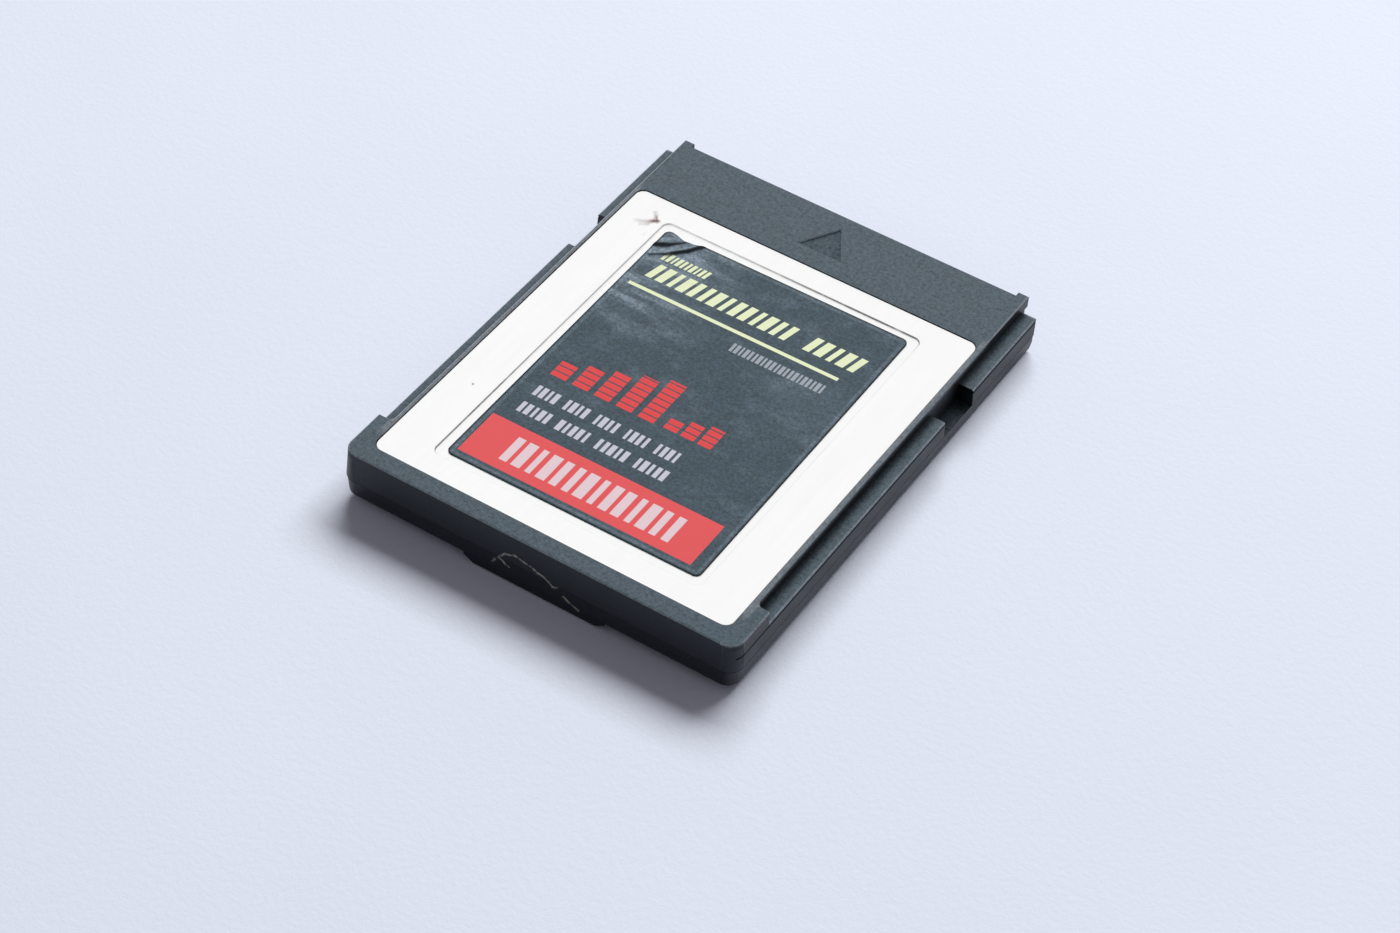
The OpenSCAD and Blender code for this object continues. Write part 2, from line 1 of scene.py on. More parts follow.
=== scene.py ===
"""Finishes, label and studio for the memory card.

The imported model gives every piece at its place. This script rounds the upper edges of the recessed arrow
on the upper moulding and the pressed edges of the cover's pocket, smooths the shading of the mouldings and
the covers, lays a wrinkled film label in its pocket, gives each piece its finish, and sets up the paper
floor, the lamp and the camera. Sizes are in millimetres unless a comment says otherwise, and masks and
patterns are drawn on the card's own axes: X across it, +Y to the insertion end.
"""

import logging
import math
from abc import ABC, abstractmethod
from collections.abc import Callable, Mapping
from dataclasses import dataclass, field
from enum import Enum
from functools import reduce
from typing import Any

import bpy
from mathutils import Matrix, Vector


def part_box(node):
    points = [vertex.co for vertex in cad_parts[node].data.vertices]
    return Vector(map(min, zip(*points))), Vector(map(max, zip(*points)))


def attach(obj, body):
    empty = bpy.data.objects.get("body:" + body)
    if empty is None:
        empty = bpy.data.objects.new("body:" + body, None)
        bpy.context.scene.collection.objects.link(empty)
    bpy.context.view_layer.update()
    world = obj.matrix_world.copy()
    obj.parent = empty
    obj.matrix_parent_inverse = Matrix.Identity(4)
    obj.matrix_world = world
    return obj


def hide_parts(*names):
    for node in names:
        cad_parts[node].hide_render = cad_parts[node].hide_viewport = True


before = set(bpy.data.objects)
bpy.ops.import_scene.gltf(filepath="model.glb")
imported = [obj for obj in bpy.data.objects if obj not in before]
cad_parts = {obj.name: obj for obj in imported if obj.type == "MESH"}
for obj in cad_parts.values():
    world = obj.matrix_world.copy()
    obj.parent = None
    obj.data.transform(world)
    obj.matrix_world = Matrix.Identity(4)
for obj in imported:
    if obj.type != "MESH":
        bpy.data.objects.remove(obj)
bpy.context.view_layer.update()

LOG = logging.getLogger("memory_card")
MM = 0.001
# Difference in height within which two points are level
NEAR = 0.01

Colour = tuple[float, float, float]
Place = tuple[float, float, float]
Spot = tuple[float, float]
Link = bpy.types.NodeSocket
Piece = bpy.types.Object


@dataclass(frozen=True)
class Outline:
    """A rectangle with round corners on the card's upper side.

    Attributes:
        half_x: Half its width.
        half_y: Half its length.
        middle_y: Place of its middle along the card.
        radius: Radius of its corners.
    """

    half_x: float
    half_y: float
    middle_y: float
    radius: float

    @classmethod
    def of_label(cls, radius: float, turn: float) -> "Outline":
        """Outline of the label, from its node's box.

        Args:
            radius: Radius of its corners.
            turn: Angle at which it lies, in degrees.

        Returns:
            The outline as it was before the label was turned.
        """
        low, high = (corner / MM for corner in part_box("label"))
        wide, long = high.x - low.x - 2 * radius, high.y - low.y - 2 * radius
        cos, sin = math.cos(math.radians(turn)), math.sin(math.radians(turn))
        spread = cos * cos - sin * sin
        half_x = (wide * cos - long * sin) / spread / 2 + radius
        half_y = (long * cos - wide * sin) / spread / 2 + radius
        return cls(half_x, half_y, (low.y + high.y) / 2, radius)


@dataclass(frozen=True)
class Mark:
    """A mark that lies along an open line.

    Attributes:
        spots: Points of the line.
        faint: Length by which the mark reaches less far from its line than the boldest one does.
    """

    spots: tuple[Spot, ...]
    faint: float = 0.0


class Val:
    """A number socket of a material, with arithmetic that adds Math nodes."""

    def __init__(self, tree: "Tree", socket: Link) -> None:
        """Keeps the socket and the tree that it belongs to."""
        self.tree = tree
        self.socket = socket

    def __add__(self, other: "Val | float") -> "Val":
        """Sum."""
        return self.tree.math("ADD", self, other)

    def __sub__(self, other: "Val | float") -> "Val":
        """Difference."""
        return self.tree.math("SUBTRACT", self, other)

    def __rsub__(self, other: float) -> "Val":
        """Difference from a plain number."""
        return self.tree.math("SUBTRACT", other, self)

    def __mul__(self, other: "Val | float") -> "Val":
        """Product."""
        return self.tree.math("MULTIPLY", self, other)

    def __truediv__(self, other: "Val | float") -> "Val":
        """Quotient."""
        return self.tree.math("DIVIDE", self, other)

    def __rtruediv__(self, other: float) -> "Val":
        """Plain number divided by this one."""
        return self.tree.math("DIVIDE", other, self)

    def __pow__(self, other: "Val | float") -> "Val":
        """Power."""
        return self.tree.math("POWER", self, other)

    def __abs__(self) -> "Val":
        """Size without its sign."""
        return self.tree.math("ABSOLUTE", self)

    __radd__ = __add__
    __rmul__ = __mul__

    def least(self, other: "Val | float") -> "Val":
        """Smaller of the two."""
        return self.tree.math("MINIMUM", self, other)

    def most(self, other: "Val | float") -> "Val":
        """Larger of the two."""
        return self.tree.math("MAXIMUM", self, other)

    def rise(self, low: float, high: float) -> "Val":
        """Smooth step.

        Args:
            low: Value at which the step is 0.
            high: Value at which it is 1, which may be below low for a falling step.

        Returns:
            A value from 0 to 1.
        """
        node = self.tree.add("ShaderNodeMapRange", {"interpolation_type": "SMOOTHSTEP"},
                             {"Value": self, "From Min": low, "From Max": high})
        return Val(self.tree, node.outputs[0])


class Tree:
    """Node tree of one material or world, with short ways to add nodes."""

    def __init__(self, owner: bpy.types.Material | bpy.types.World) -> None:
        """Empties the owner's tree.

        Args:
            owner: The material or world that gets the nodes.
        """
        self.owner = owner
        owner.use_nodes = True
        owner.node_tree.nodes.clear()
        self._point: Link | None = None

    def add(self, kind: str, settings: Mapping[str, Any] | None = None,
            inputs: Mapping[str | int, Any] | None = None) -> bpy.types.Node:
        """Adds any node.

        Args:
            kind: Type of the node.
            settings: Its settings, set first.
            inputs: Values or links of its sockets, by name or number.

        Returns:
            The new node.
        """
        node = self.owner.node_tree.nodes.new(kind)
        for key, value in (settings or {}).items():
            setattr(node, key, value)
        for key, value in (inputs or {}).items():
            socket = node.inputs[key]
            if isinstance(value, Val):
                value = value.socket
            if isinstance(value, Link):
                self.owner.node_tree.links.new(value, socket)
            elif socket.type == "RGBA":
                socket.default_value = (*value, 1.0)
            else:
                socket.default_value = value
        return node

    def math(self, operation: str, *values: Val | float) -> Val:
        """Adds a Math node on the values and returns its result."""
        node = self.add("ShaderNodeMath", {"operation": operation}, dict(enumerate(values)))
        return Val(self, node.outputs[0])

    def vector(self, operation: str, *values: Any) -> Link:
        """Adds a Vector Math node on the values and returns its vector."""
        return self.add("ShaderNodeVectorMath", {"operation": operation}, dict(enumerate(values))).outputs[0]

    def length(self, vector: Link) -> Val:
        """Length of a vector."""
        node = self.add("ShaderNodeVectorMath", {"operation": "LENGTH"}, {0: vector})
        return Val(self, node.outputs["Value"])

    def scaled(self, vector: Any, factor: Val | float) -> Link:
        """Vector or colour multiplied by a number."""
        node = self.add("ShaderNodeVectorMath", {"operation": "SCALE"}, {0: vector, "Scale": factor})
        return node.outputs[0]

    def point(self) -> Link:
        """Place on the piece.

        Returns:
            The place, in millimetres.
        """
        if self._point is None:
            self._point = self.scaled(self.add("ShaderNodeTexCoord").outputs["Object"], 1.0 / MM)
        return self._point

    def axes(self, vector: Link | None = None) -> tuple[Val, Val, Val]:
        """Parts of a vector, or of the place on the piece where none is given."""
        node = self.add("ShaderNodeSeparateXYZ", None, {0: vector or self.point()})
        return Val(self, node.outputs[0]), Val(self, node.outputs[1]), Val(self, node.outputs[2])

    def flat(self, across: Val, along: Val) -> Link:
        """Vector of two numbers, with nothing along its third axis."""
        return self.add("ShaderNodeCombineXYZ", None, {0: across, 1: along, 2: 0.0}).outputs[0]

    def noise(self, pitch: Place | float, detail: float = 2.0, rough: float = 0.5,
              shift: float = 0.0) -> Val:
        """Soft noise.

        Args:
            pitch: Size of its blots, or one size for each axis.
            detail: Number of finer layers.
            rough: Strength of the finer layers.
            shift: Place along Z in the noise, for a pattern of its own.

        Returns:
            A value about 0.5.
        """
        sizes = (pitch, pitch, pitch) if isinstance(pitch, (int, float)) else pitch
        stretched = self.vector("MULTIPLY", self.point(), tuple(1.0 / size for size in sizes))
        moved = self.vector("ADD", stretched, (0.0, 0.0, shift))
        node = self.add("ShaderNodeTexNoise", None,
                        {"Vector": moved, "Scale": 1.0, "Detail": detail, "Roughness": rough})
        return Val(self, node.outputs[0])

    def mix(self, factor: Val, low: Any, high: Any) -> Link:
        """Colour between low, where the factor is 0, and high, where it is 1."""
        node = self.add("ShaderNodeMix", {"data_type": "RGBA"}, {0: factor, 6: low, 7: high})
        return node.outputs[2]

    def bump(self, height: Val, depth: float) -> Link:
        """Normal of a surface with bumps, which are depth millimetres high where height is 1."""
        inputs = {"Height": height, "Distance": depth * MM, "Strength": 1.0}
        return self.add("ShaderNodeBump", None, inputs).outputs[0]

    def plate(self, x0: float, x1: float, y0: float, y1: float, x: Val, y: Val) -> Val:
        """Mask of a rectangle with edges softened by 0.02 mm to either side."""
        across = (abs(x - (x0 + x1) / 2) - (x1 - x0) / 2).rise(0.02, -0.02)
        return across * (abs(y - (y0 + y1) / 2) - (y1 - y0) / 2).rise(0.02, -0.02)

    def beyond(self, outline: Outline, x: Val, y: Val) -> Val:
        """Distance outside an outline.

        Args:
            outline: The outline.
            x: Place across the card.
            y: Place along the card.

        Returns:
            The distance, negative inside the outline.
        """
        past_x = abs(x) - (outline.half_x - outline.radius)
        past_y = abs(y - outline.middle_y) - (outline.half_y - outline.radius)
        corner = (past_x.most(0.0) ** 2.0 + past_y.most(0.0) ** 2.0) ** 0.5
        return corner + past_x.most(past_y).least(0.0) - outline.radius

    def track(self, flat: Link, spots: tuple[Spot, ...]) -> Val:
        """Distance to an open line.

        Args:
            flat: Place in the line's plane.
            spots: Points of the line.

        Returns:
            The distance.
        """
        gaps = []
        for (u0, v0), (u1, v1) in zip(spots, spots[1:]):
            run = Vector((u1 - u0, v1 - v0, 0.0))
            away = self.vector("SUBTRACT", flat, (u0, v0, 0.0))
            along = self.add("ShaderNodeVectorMath", {"operation": "DOT_PRODUCT"},
                             {0: away, 1: tuple(run / run.length_squared)}).outputs["Value"]
            share = self.add("ShaderNodeClamp", None, {"Value": along}).outputs[0]
            gaps.append(self.length(self.vector("SUBTRACT", away, self.scaled(tuple(run), share))))
        return reduce(Val.least, gaps)

    def nearest(self, flat: Link, marks: tuple[Mark, ...]) -> Val:
        """Distance to the nearest of the marks, counted from further off where a mark is faint."""
        return reduce(Val.least, [self.track(flat, mark.spots) + mark.faint for mark in marks])


@dataclass(frozen=True)
class Finish(ABC):
    """A surface finish, which makes one material.

    Attributes:
        name: Name of the finish, from which its material's name is made.
    """

    name: str

    @abstractmethod
    def shade(self, tree: Tree) -> dict[str, Any]:
        """Adds the finish's nodes.

        Args:
            tree: Tree of the material.

        Returns:
            What feeds the shader's sockets.
        """

    def material(self) -> bpy.types.Material:
        """Makes the material of this finish, once.

        Returns:
            The material.
        """
        material = bpy.data.materials.get(f"finish_{self.name}")
        if material is None:
            material = bpy.data.materials.new(f"finish_{self.name}")
            tree = Tree(material)
            shader = tree.add("ShaderNodeBsdfPrincipled", None, self.shade(tree))
            tree.add("ShaderNodeOutputMaterial", None, {"Surface": shader.outputs[0]})
        return material

    def dress(self, piece: Piece) -> None:
        """Gives the piece this finish alone."""
        piece.data.materials.clear()
        piece.data.materials.append(self.material())


@dataclass(frozen=True)
class MouldedPlastic(Finish):
    """Black plastic, glossy on its walls, coated on its spark-eroded faces, with painted light in its
    colour.

    Attributes:
        wall: Colour of the walls.
        face: Colour of the faces, paler than the walls' as a painted sheen.
        edge: Colour of the painted highlight on the edges.
        edge_highlight: Colour of the painted highlight on the rails' outer edges and round the arrow.
        strip_sheen: Colour of the painted sheen on the narrow strips beside the cover.
        sheen: Tint of the walls' gloss.
        grain: Size of the texture's grains.
        grain_depth: Height of the grains.
        wear: Colour of the scratches across the rear wall.
        rear_y: Place of the rear wall.
        arrow: Tip and right foot of the recessed arrow on the front band, which is even to both sides.
        arrow_z: Height just below the arrow's floor.
        seam_z: Height of the parting line.
        groove_z: Height of the fine groove along the rails' sides.
        rail_z: Height of the rails' tops.
        side_x: Place of the rails' outer sides.
        wall_x: Place of the raised body's side walls, at the root of the rails.
        strip_y: Front end of those strips.
        scratches: The scratches, across and up the rear wall.
    """

    wall: Colour = (0.004, 0.005, 0.008)
    # The faces' colour is paler than the walls' as a painted sheen.
    face: Colour = (0.006, 0.027, 0.044)
    # The two edge colours below are painted highlights.
    edge: Colour = (0.018, 0.042, 0.062)
    edge_highlight: Colour = (0.14, 0.17, 0.20)
    # Painted sheen on the narrow strips beside the cover.
    strip_sheen: Colour = (0.085, 0.105, 0.120)
    sheen: Colour = (0.76, 0.88, 1.0)
    grain: float = 0.11
    grain_depth: float = 0.010
    wear: Colour = (0.27, 0.25, 0.215)
    rear_y: float = -19.25
    arrow: tuple[Spot, Spot] = ((0.0, 17.52), (1.65, 14.72))
    arrow_z: float = 4.1
    seam_z: float = 2.05
    groove_z: float = 3.17
    rail_z: float = 3.42
    side_x: float = 14.8
    wall_x: float = 13.66
    strip_y: float = 14.0
    scratches: tuple[Mark, ...] = (
        Mark(((-2.46, 2.15), (-2.02, 2.64), (-1.35, 2.83), (-0.22, 2.63), (0.92, 2.26), (1.53, 1.83))),
        Mark(((-2.60, 1.98), (-2.25, 1.84), (-2.05, 1.62), (-1.84, 1.50))),
        Mark(((-3.02, 1.28), (-2.86, 1.62))),
        Mark(((1.45, 1.76), (1.80, 1.98))),
        Mark(((2.29, 1.31), (2.68, 1.01), (2.98, 0.92), (3.36, 0.71))))

    def scratched(self, tree: Tree) -> Val:
        """Mask of the broken scratches on the rear wall.

        Args:
            tree: Tree of the material.

        Returns:
            The mask.
        """
        x, y, z = tree.axes()
        wobble = (tree.noise(0.6, shift=3.0) - 0.5) * 0.22
        near = tree.nearest(tree.flat(x, z + wobble), self.scratches)
        width = tree.noise(0.45, shift=7.0) * 0.15
        broken = tree.noise(0.25, detail=3.0, shift=11.0).rise(0.36, 0.54)
        return (near - width).rise(0.05, -0.03) * broken * y.rise(self.rear_y + 0.4, self.rear_y + 0.35)

    def sunk(self, tree: Tree) -> Val:
        """Mask of the arrow's floor, rising towards its step, which carries painted shade in the recess,
        darkest along the step.

        Args:
            tree: Tree of the material.

        Returns:
            The mask.
        """
        x, y, z = tree.axes()
        (_, tip_y), (foot_x, foot_y) = self.arrow
        length = math.hypot(tip_y - foot_y, foot_x)
        inside = ((tip_y - y) * foot_x - abs(x) * (tip_y - foot_y)) / length
        inside = inside.least(y - foot_y).least((z - self.arrow_z) * 4.0)
        return inside.rise(-0.10, 0.0) * (inside.rise(0.30, 0.04) * 0.3 + 0.7)

    def sheen_beside_cover(self, tree: Tree) -> Val:
        """Mask of the narrow strips beside the cover, which take a painted sheen.

        Args:
            tree: Tree of the material.

        Returns:
            The mask.
        """
        x, y, z = tree.axes()
        inner = abs(x).rise(self.wall_x - 0.42, self.wall_x - 0.30)
        outer = abs(x).rise(self.wall_x + 0.2, self.wall_x + 0.1)
        ends = y.rise(self.rear_y + 2.4, self.rear_y + 3.2) * y.rise(self.strip_y, self.strip_y - 1.0)
        return inner * outer * z.rise(self.rail_z + 0.5, self.rail_z + 0.6) * ends

    def shade_at_roots(self, tree: Tree, face: Val) -> Val:
        """Mask of the painted shade along the rails' roots and on the notches' floors.

        Args:
            tree: Tree of the material.
            face: Mask of the faces.

        Returns:
            The mask.
        """
        x, _, z = tree.axes()
        out = abs(x)
        root = out.rise(self.wall_x + 0.85, self.wall_x + 0.1) * out.rise(self.wall_x - 0.1, self.wall_x)
        notch = z.rise(self.seam_z + 0.2, self.seam_z + 0.1) * face
        below = z.rise(self.rail_z + 0.2, self.rail_z + 0.1)
        return root.most(notch) * below * z.rise(self.seam_z - 0.3, self.seam_z - 0.2)

    def shade(self, tree: Tree) -> dict[str, Any]:
        """Adds the finish's nodes.

        Args:
            tree: Tree of the material.

        Returns:
            What feeds the shader's sockets.
        """
        up = abs(tree.axes(tree.add("ShaderNodeTexCoord").outputs["Normal"])[2])
        # The arrow's floor, which takes painted shade, darkest along its step.
        sunk = self.sunk(tree)
        face = up.rise(0.25, 0.60).most(sunk)
        # Rounded edges, which take a painted highlight.
        rim_highlight = up.rise(0.35, 0.62) * up.rise(0.99, 0.86) * (1.0 - sunk)
        x, _, z = tree.axes()
        out = abs(x)
        seam = abs(z - self.seam_z).rise(0.06, 0.02) * (1.0 - face)
        # The fine groove along the rails' sides, which takes painted shade.
        groove = abs(z - self.groove_z).rise(0.08, 0.05) * out.rise(self.side_x - 0.30, self.side_x - 0.25)
        groove = groove * (1.0 - face)
        # Painted shade along the rails' roots and on the notches' floors.
        root = self.shade_at_roots(tree, face)
        spark = tree.noise(self.grain, detail=2.0, rough=0.6)
        cloud = tree.noise(1.3, detail=4.0, rough=0.6, shift=5.0)
        rub = tree.noise((0.5, 2.2, 1.0), detail=5.0, rough=0.65, shift=9.0)
        mottle = tree.noise(0.27, detail=3.0, rough=0.6, shift=13.0)
        tone = (spark - 0.5) * 1.6 + (mottle - 0.5) * 0.9 + (cloud - 0.5) * 0.8 + 1.0
        # Rounded upper edges round the arrow, which take a painted highlight.
        lip_highlight = sunk.rise(0.05, 0.3) * up.rise(0.97, 0.88)
        # Painted sheen: the faces take a paler colour than the walls, and the strips beside the cover a
        # paler one still.
        colour = tree.mix(self.sheen_beside_cover(tree), tree.mix(face, self.wall, self.face), self.strip_sheen)
        colour = tree.mix(lip_highlight, colour, self.edge_highlight)
        # Painted highlights on the rounded edges, paler on the rails' outer edges.
        edges = tree.mix(out.rise(self.wall_x - 0.16, self.wall_x - 0.10), self.edge, self.edge_highlight)
        # Painted shade in the arrow's recess, in the fine groove and at the rails' roots and the notches'
        # floors, with the parting line's dark joint.
        dark = 1.0 - ((sunk - lip_highlight) * 0.35).most(seam * 0.8).most(groove * 0.8).most(root * 0.75)
        colour = tree.scaled(tree.mix(rim_highlight, colour, edges), tone.most(0.15) * dark)
        # The coat thins where that painted shade lies.
        gloss = 0.76 + (spark + mottle - 1.0) * 1.25 - root * 0.4
        return {
            "Base Color": tree.mix(self.scratched(tree), colour, self.wear),
            # Dark metal in the fine groove takes its gloss away, more painted shade; the parting line's dark
            # joint gets some too.
            "Metallic": (groove * 0.9).most(seam * 0.4),
            "Roughness": 0.40 + (rub - 0.5) * 0.2 + seam.most(groove) * 0.4,
            "IOR": 1.42,
            "Specular Tint": self.sheen,
            "Coat Weight": (face * gloss - sunk * 0.45).most(0.0).least(1.0),
            "Coat Roughness": 0.34,
            "Coat IOR": 1.75,
            "Normal": tree.bump(spark, self.grain_depth),
        }


@dataclass(frozen=True)
class BrushedSteel(Finish):
    """Bright steel sheet, brushed along the card, with a thin line of painted shade along its pocket's step.

    Attributes:
        tint: Colour of the bare metal.
        pocket: Outline of the pressed pocket.
        pocket_shade: Colour of that painted shade.
        stain: Colour of the brown scuff.
        scuffs: The smears of which the scuff is made. The boldest ends at its core.
        speck: Place of the single dark speck.
        marked_z: Height above which the steel carries these marks, so that the lower sheet is clean.
    """

    tint: Colour = (0.965, 0.97, 0.965)
    pocket: Outline = Outline(10.03, 13.61, -2.34, 0.55)
    # Painted shade along the pocket's step.
    pocket_shade: Colour = (0.15, 0.155, 0.145)
    stain: Colour = (0.20, 0.115, 0.10)
    scuffs: tuple[Mark, ...] = (
        Mark(((-11.75, 10.15), (-11.25, 10.30), (-10.95, 10.55), (-10.62, 10.90))),
        Mark(((-11.20, 11.60), (-10.85, 11.20), (-10.60, 10.85)), 0.10),
        Mark(((-11.35, 10.00), (-10.95, 10.25)), 0.08),
        Mark(((-10.62, 9.30), (-10.60, 9.00)), 0.14))
    speck: Spot = (-11.44, -9.44)
    marked_z: float = 3.0

    def pocket_shade_mask(self, tree: Tree) -> Val:
        """Mask of the painted shade along the pocket's step, strongest at the front right and the rear left.

        Args:
            tree: Tree of the material.

        Returns:
            The mask.
        """
        x, y, z = tree.axes()
        line = abs(tree.beyond(self.pocket, x, y) + 0.01).rise(0.05, 0.02)
        front = y.rise(9.5, 11.0) * x.rise(-5.0, 6.0) * 0.56
        strength = 0.26 + front + x.rise(-9.4, -9.9) * y.rise(-2.0, -10.0) * 0.5
        patchy = tree.noise(1.1, detail=3.0, shift=21.0).rise(0.25, 0.60) * 0.5 + 0.5
        return line * strength.least(0.92) * patchy * z.rise(self.marked_z, self.marked_z + 0.2)

    def soiled(self, tree: Tree) -> Val:
        """Mask of the scuff and the speck on the upper cover.

        Args:
            tree: Tree of the material.

        Returns:
            The mask.
        """
        x, y, z = tree.axes()
        flat = tree.flat(x, y)
        near = tree.nearest(flat, self.scuffs)
        core = tree.length(tree.vector("SUBTRACT", flat, (*self.scuffs[0].spots[-1], 0.0)))
        blot = tree.noise(0.30, detail=4.0, rough=0.7, shift=2.0)
        smear = (near + (blot - 0.5) * 0.7).rise(0.36, 0.06) * blot.rise(0.26, 0.48) * core.rise(2.4, 0.3)
        smear = smear * (0.42 + core.rise(0.75, 0.1) * 0.55)
        dot = tree.length(tree.vector("SUBTRACT", flat, (*self.speck, 0.0))).rise(0.11, 0.05)
        return smear.most(dot * 0.7) * z.rise(self.marked_z, self.marked_z + 0.2)

    def shade(self, tree: Tree) -> dict[str, Any]:
        """Adds the finish's nodes.

        Args:
            tree: Tree of the material.

        Returns:
            What feeds the shader's sockets.
        """
        hair = tree.noise((0.045, 7.0, 0.2), detail=3.0, rough=0.6)
        streak = tree.noise((0.6, 9.0, 1.0), detail=2.0, shift=4.0)
        haze = tree.noise(2.6, detail=3.0, shift=8.0)
        tone = 0.95 + hair * 0.06 + (streak - 0.5) * 0.05 + (haze - 0.5) * 0.03
        soiled = self.soiled(tree)
        # Painted shade along the pocket's step, which also takes the metal's shine away there.
        line = self.pocket_shade_mask(tree)
        bare = tree.mix(line, tree.scaled(self.tint, tone.least(1.0)), self.pocket_shade)
        return {
            "Base Color": tree.mix(soiled, bare, self.stain),
            "Metallic": 1.0 - soiled.most(line) * 0.8,
            "Roughness": 0.30 + hair * 0.10 + soiled * 0.4,
            "Normal": tree.bump(hair, 0.0035),
        }


class Ink(Enum):
    """Colours printed on the label."""

    LEMON = (0.80, 0.88, 0.57)
    RED = (0.72, 0.050, 0.052)
    LILAC = (0.58, 0.59, 0.67)
    GREY = (0.34, 0.38, 0.42)
    BAND = (0.75, 0.085, 0.090)
    PINK = (0.77, 0.62, 0.65)


@dataclass(frozen=True)
class Bar:
    """A plain printed bar.

    Attributes:
        x0: Left edge.
        x1: Right edge.
        y0: Lower edge.
        y1: Upper edge.
        ink: Its colour.
    """

    x0: float
    x1: float
    y0: float
    y1: float
    ink: Ink

    def mask(self, tree: Tree, x: Val, y: Val) -> Val:
        """Mask of the bar."""
        return tree.plate(self.x0, self.x1, self.y0, self.y1, x, y)


@dataclass(frozen=True)
class Strokes:
    """A row of printed upright strokes of uneven width.

    Attributes:
        start: Left end of the row.
        low: Lower edge.
        high: Upper edge.
        pitch: Distance between strokes.
        count: Number of strokes.
        ink: Their colour.
        lean: Shift to the right for each millimetre of height.
        group: Every stroke of this number is left out, or none where it is 0.
        half: Half a stroke's middle width, as a share of the pitch.
        swing: Share by which the half width rises and falls along the row.
        beat: Turn of that swing from one stroke to the next, in radians.
    """

    start: float
    low: float
    high: float
    pitch: float
    count: int
    ink: Ink
    lean: float = 0.0
    group: int = 0
    half: float = 0.31
    swing: float = 0.09
    beat: float = 2.4

    def mask(self, tree: Tree, x: Val, y: Val) -> Val:
        """Mask of the row.

        Args:
            tree: Tree of the material.
            x: Place across the label.
            y: Place along the label.

        Returns:
            The mask.
        """
        if self.lean:
            x = x - (y - self.low) * self.lean
        place = (x - self.start) / self.pitch
        number = tree.math("FLOOR", place)
        half_width = self.half + tree.math("SINE", number * self.beat) * self.swing
        soft = 0.02 / self.pitch
        stroke = (abs(place - number - 0.5) - half_width).rise(soft, -soft)
        end = self.start + self.count * self.pitch
        stroke = stroke * tree.plate(self.start, end, self.low, self.high, x, y)
        if self.group:
            turn = tree.math("FRACT", (number + 1.5) / self.group)
            stroke = stroke * turn.rise(0.9 / self.group, 1.1 / self.group)
        return stroke


@dataclass(frozen=True)
class Meter:
    """A bar meter: bars of equal width that rise in even steps, cut into segments.

    Attributes:
        start: Left edge of the first bar.
        low: Foot of the bars.
        first: Height of the first bar.
        last: Height of the last bar.
        count: Number of bars.
        width: Width of a bar.
        gap: Gap between neighbours.
        ink: Their colour.
        segment: Height of a segment with its gap.
        lit: Share of that height which is printed.
    """

    start: float
    low: float
    first: float
    last: float
    count: int
    width: float
    gap: float
    ink: Ink
    segment: float = 0.56
    lit: float = 0.82

    def mask(self, tree: Tree, x: Val, y: Val) -> Val:
        """Mask of the meter.

        Args:
            tree: Tree of the material.
            x: Place across the label.
            y: Place along the label.

        Returns:
            The mask.
        """
        step = self.width + self.gap
        place = (x - self.start) / step
        number = tree.math("FLOOR", place)
        share = self.width / step
        bar = (abs(place - number - share / 2) - share / 2).rise(0.02, -0.02)
        top = number * ((self.last - self.first) / (self.count - 1)) + (self.low + self.first)
        level = tree.math("FRACT", (y - self.low) / self.segment)
        lit = (abs(level - self.lit / 2) - self.lit / 2).rise(0.03, -0.03)
        end = self.start + self.count * step
        whole = tree.plate(self.start, end, self.low, self.low + self.last, x, y)
        return bar * lit * (top - y).rise(-0.02, 0.02) * whole


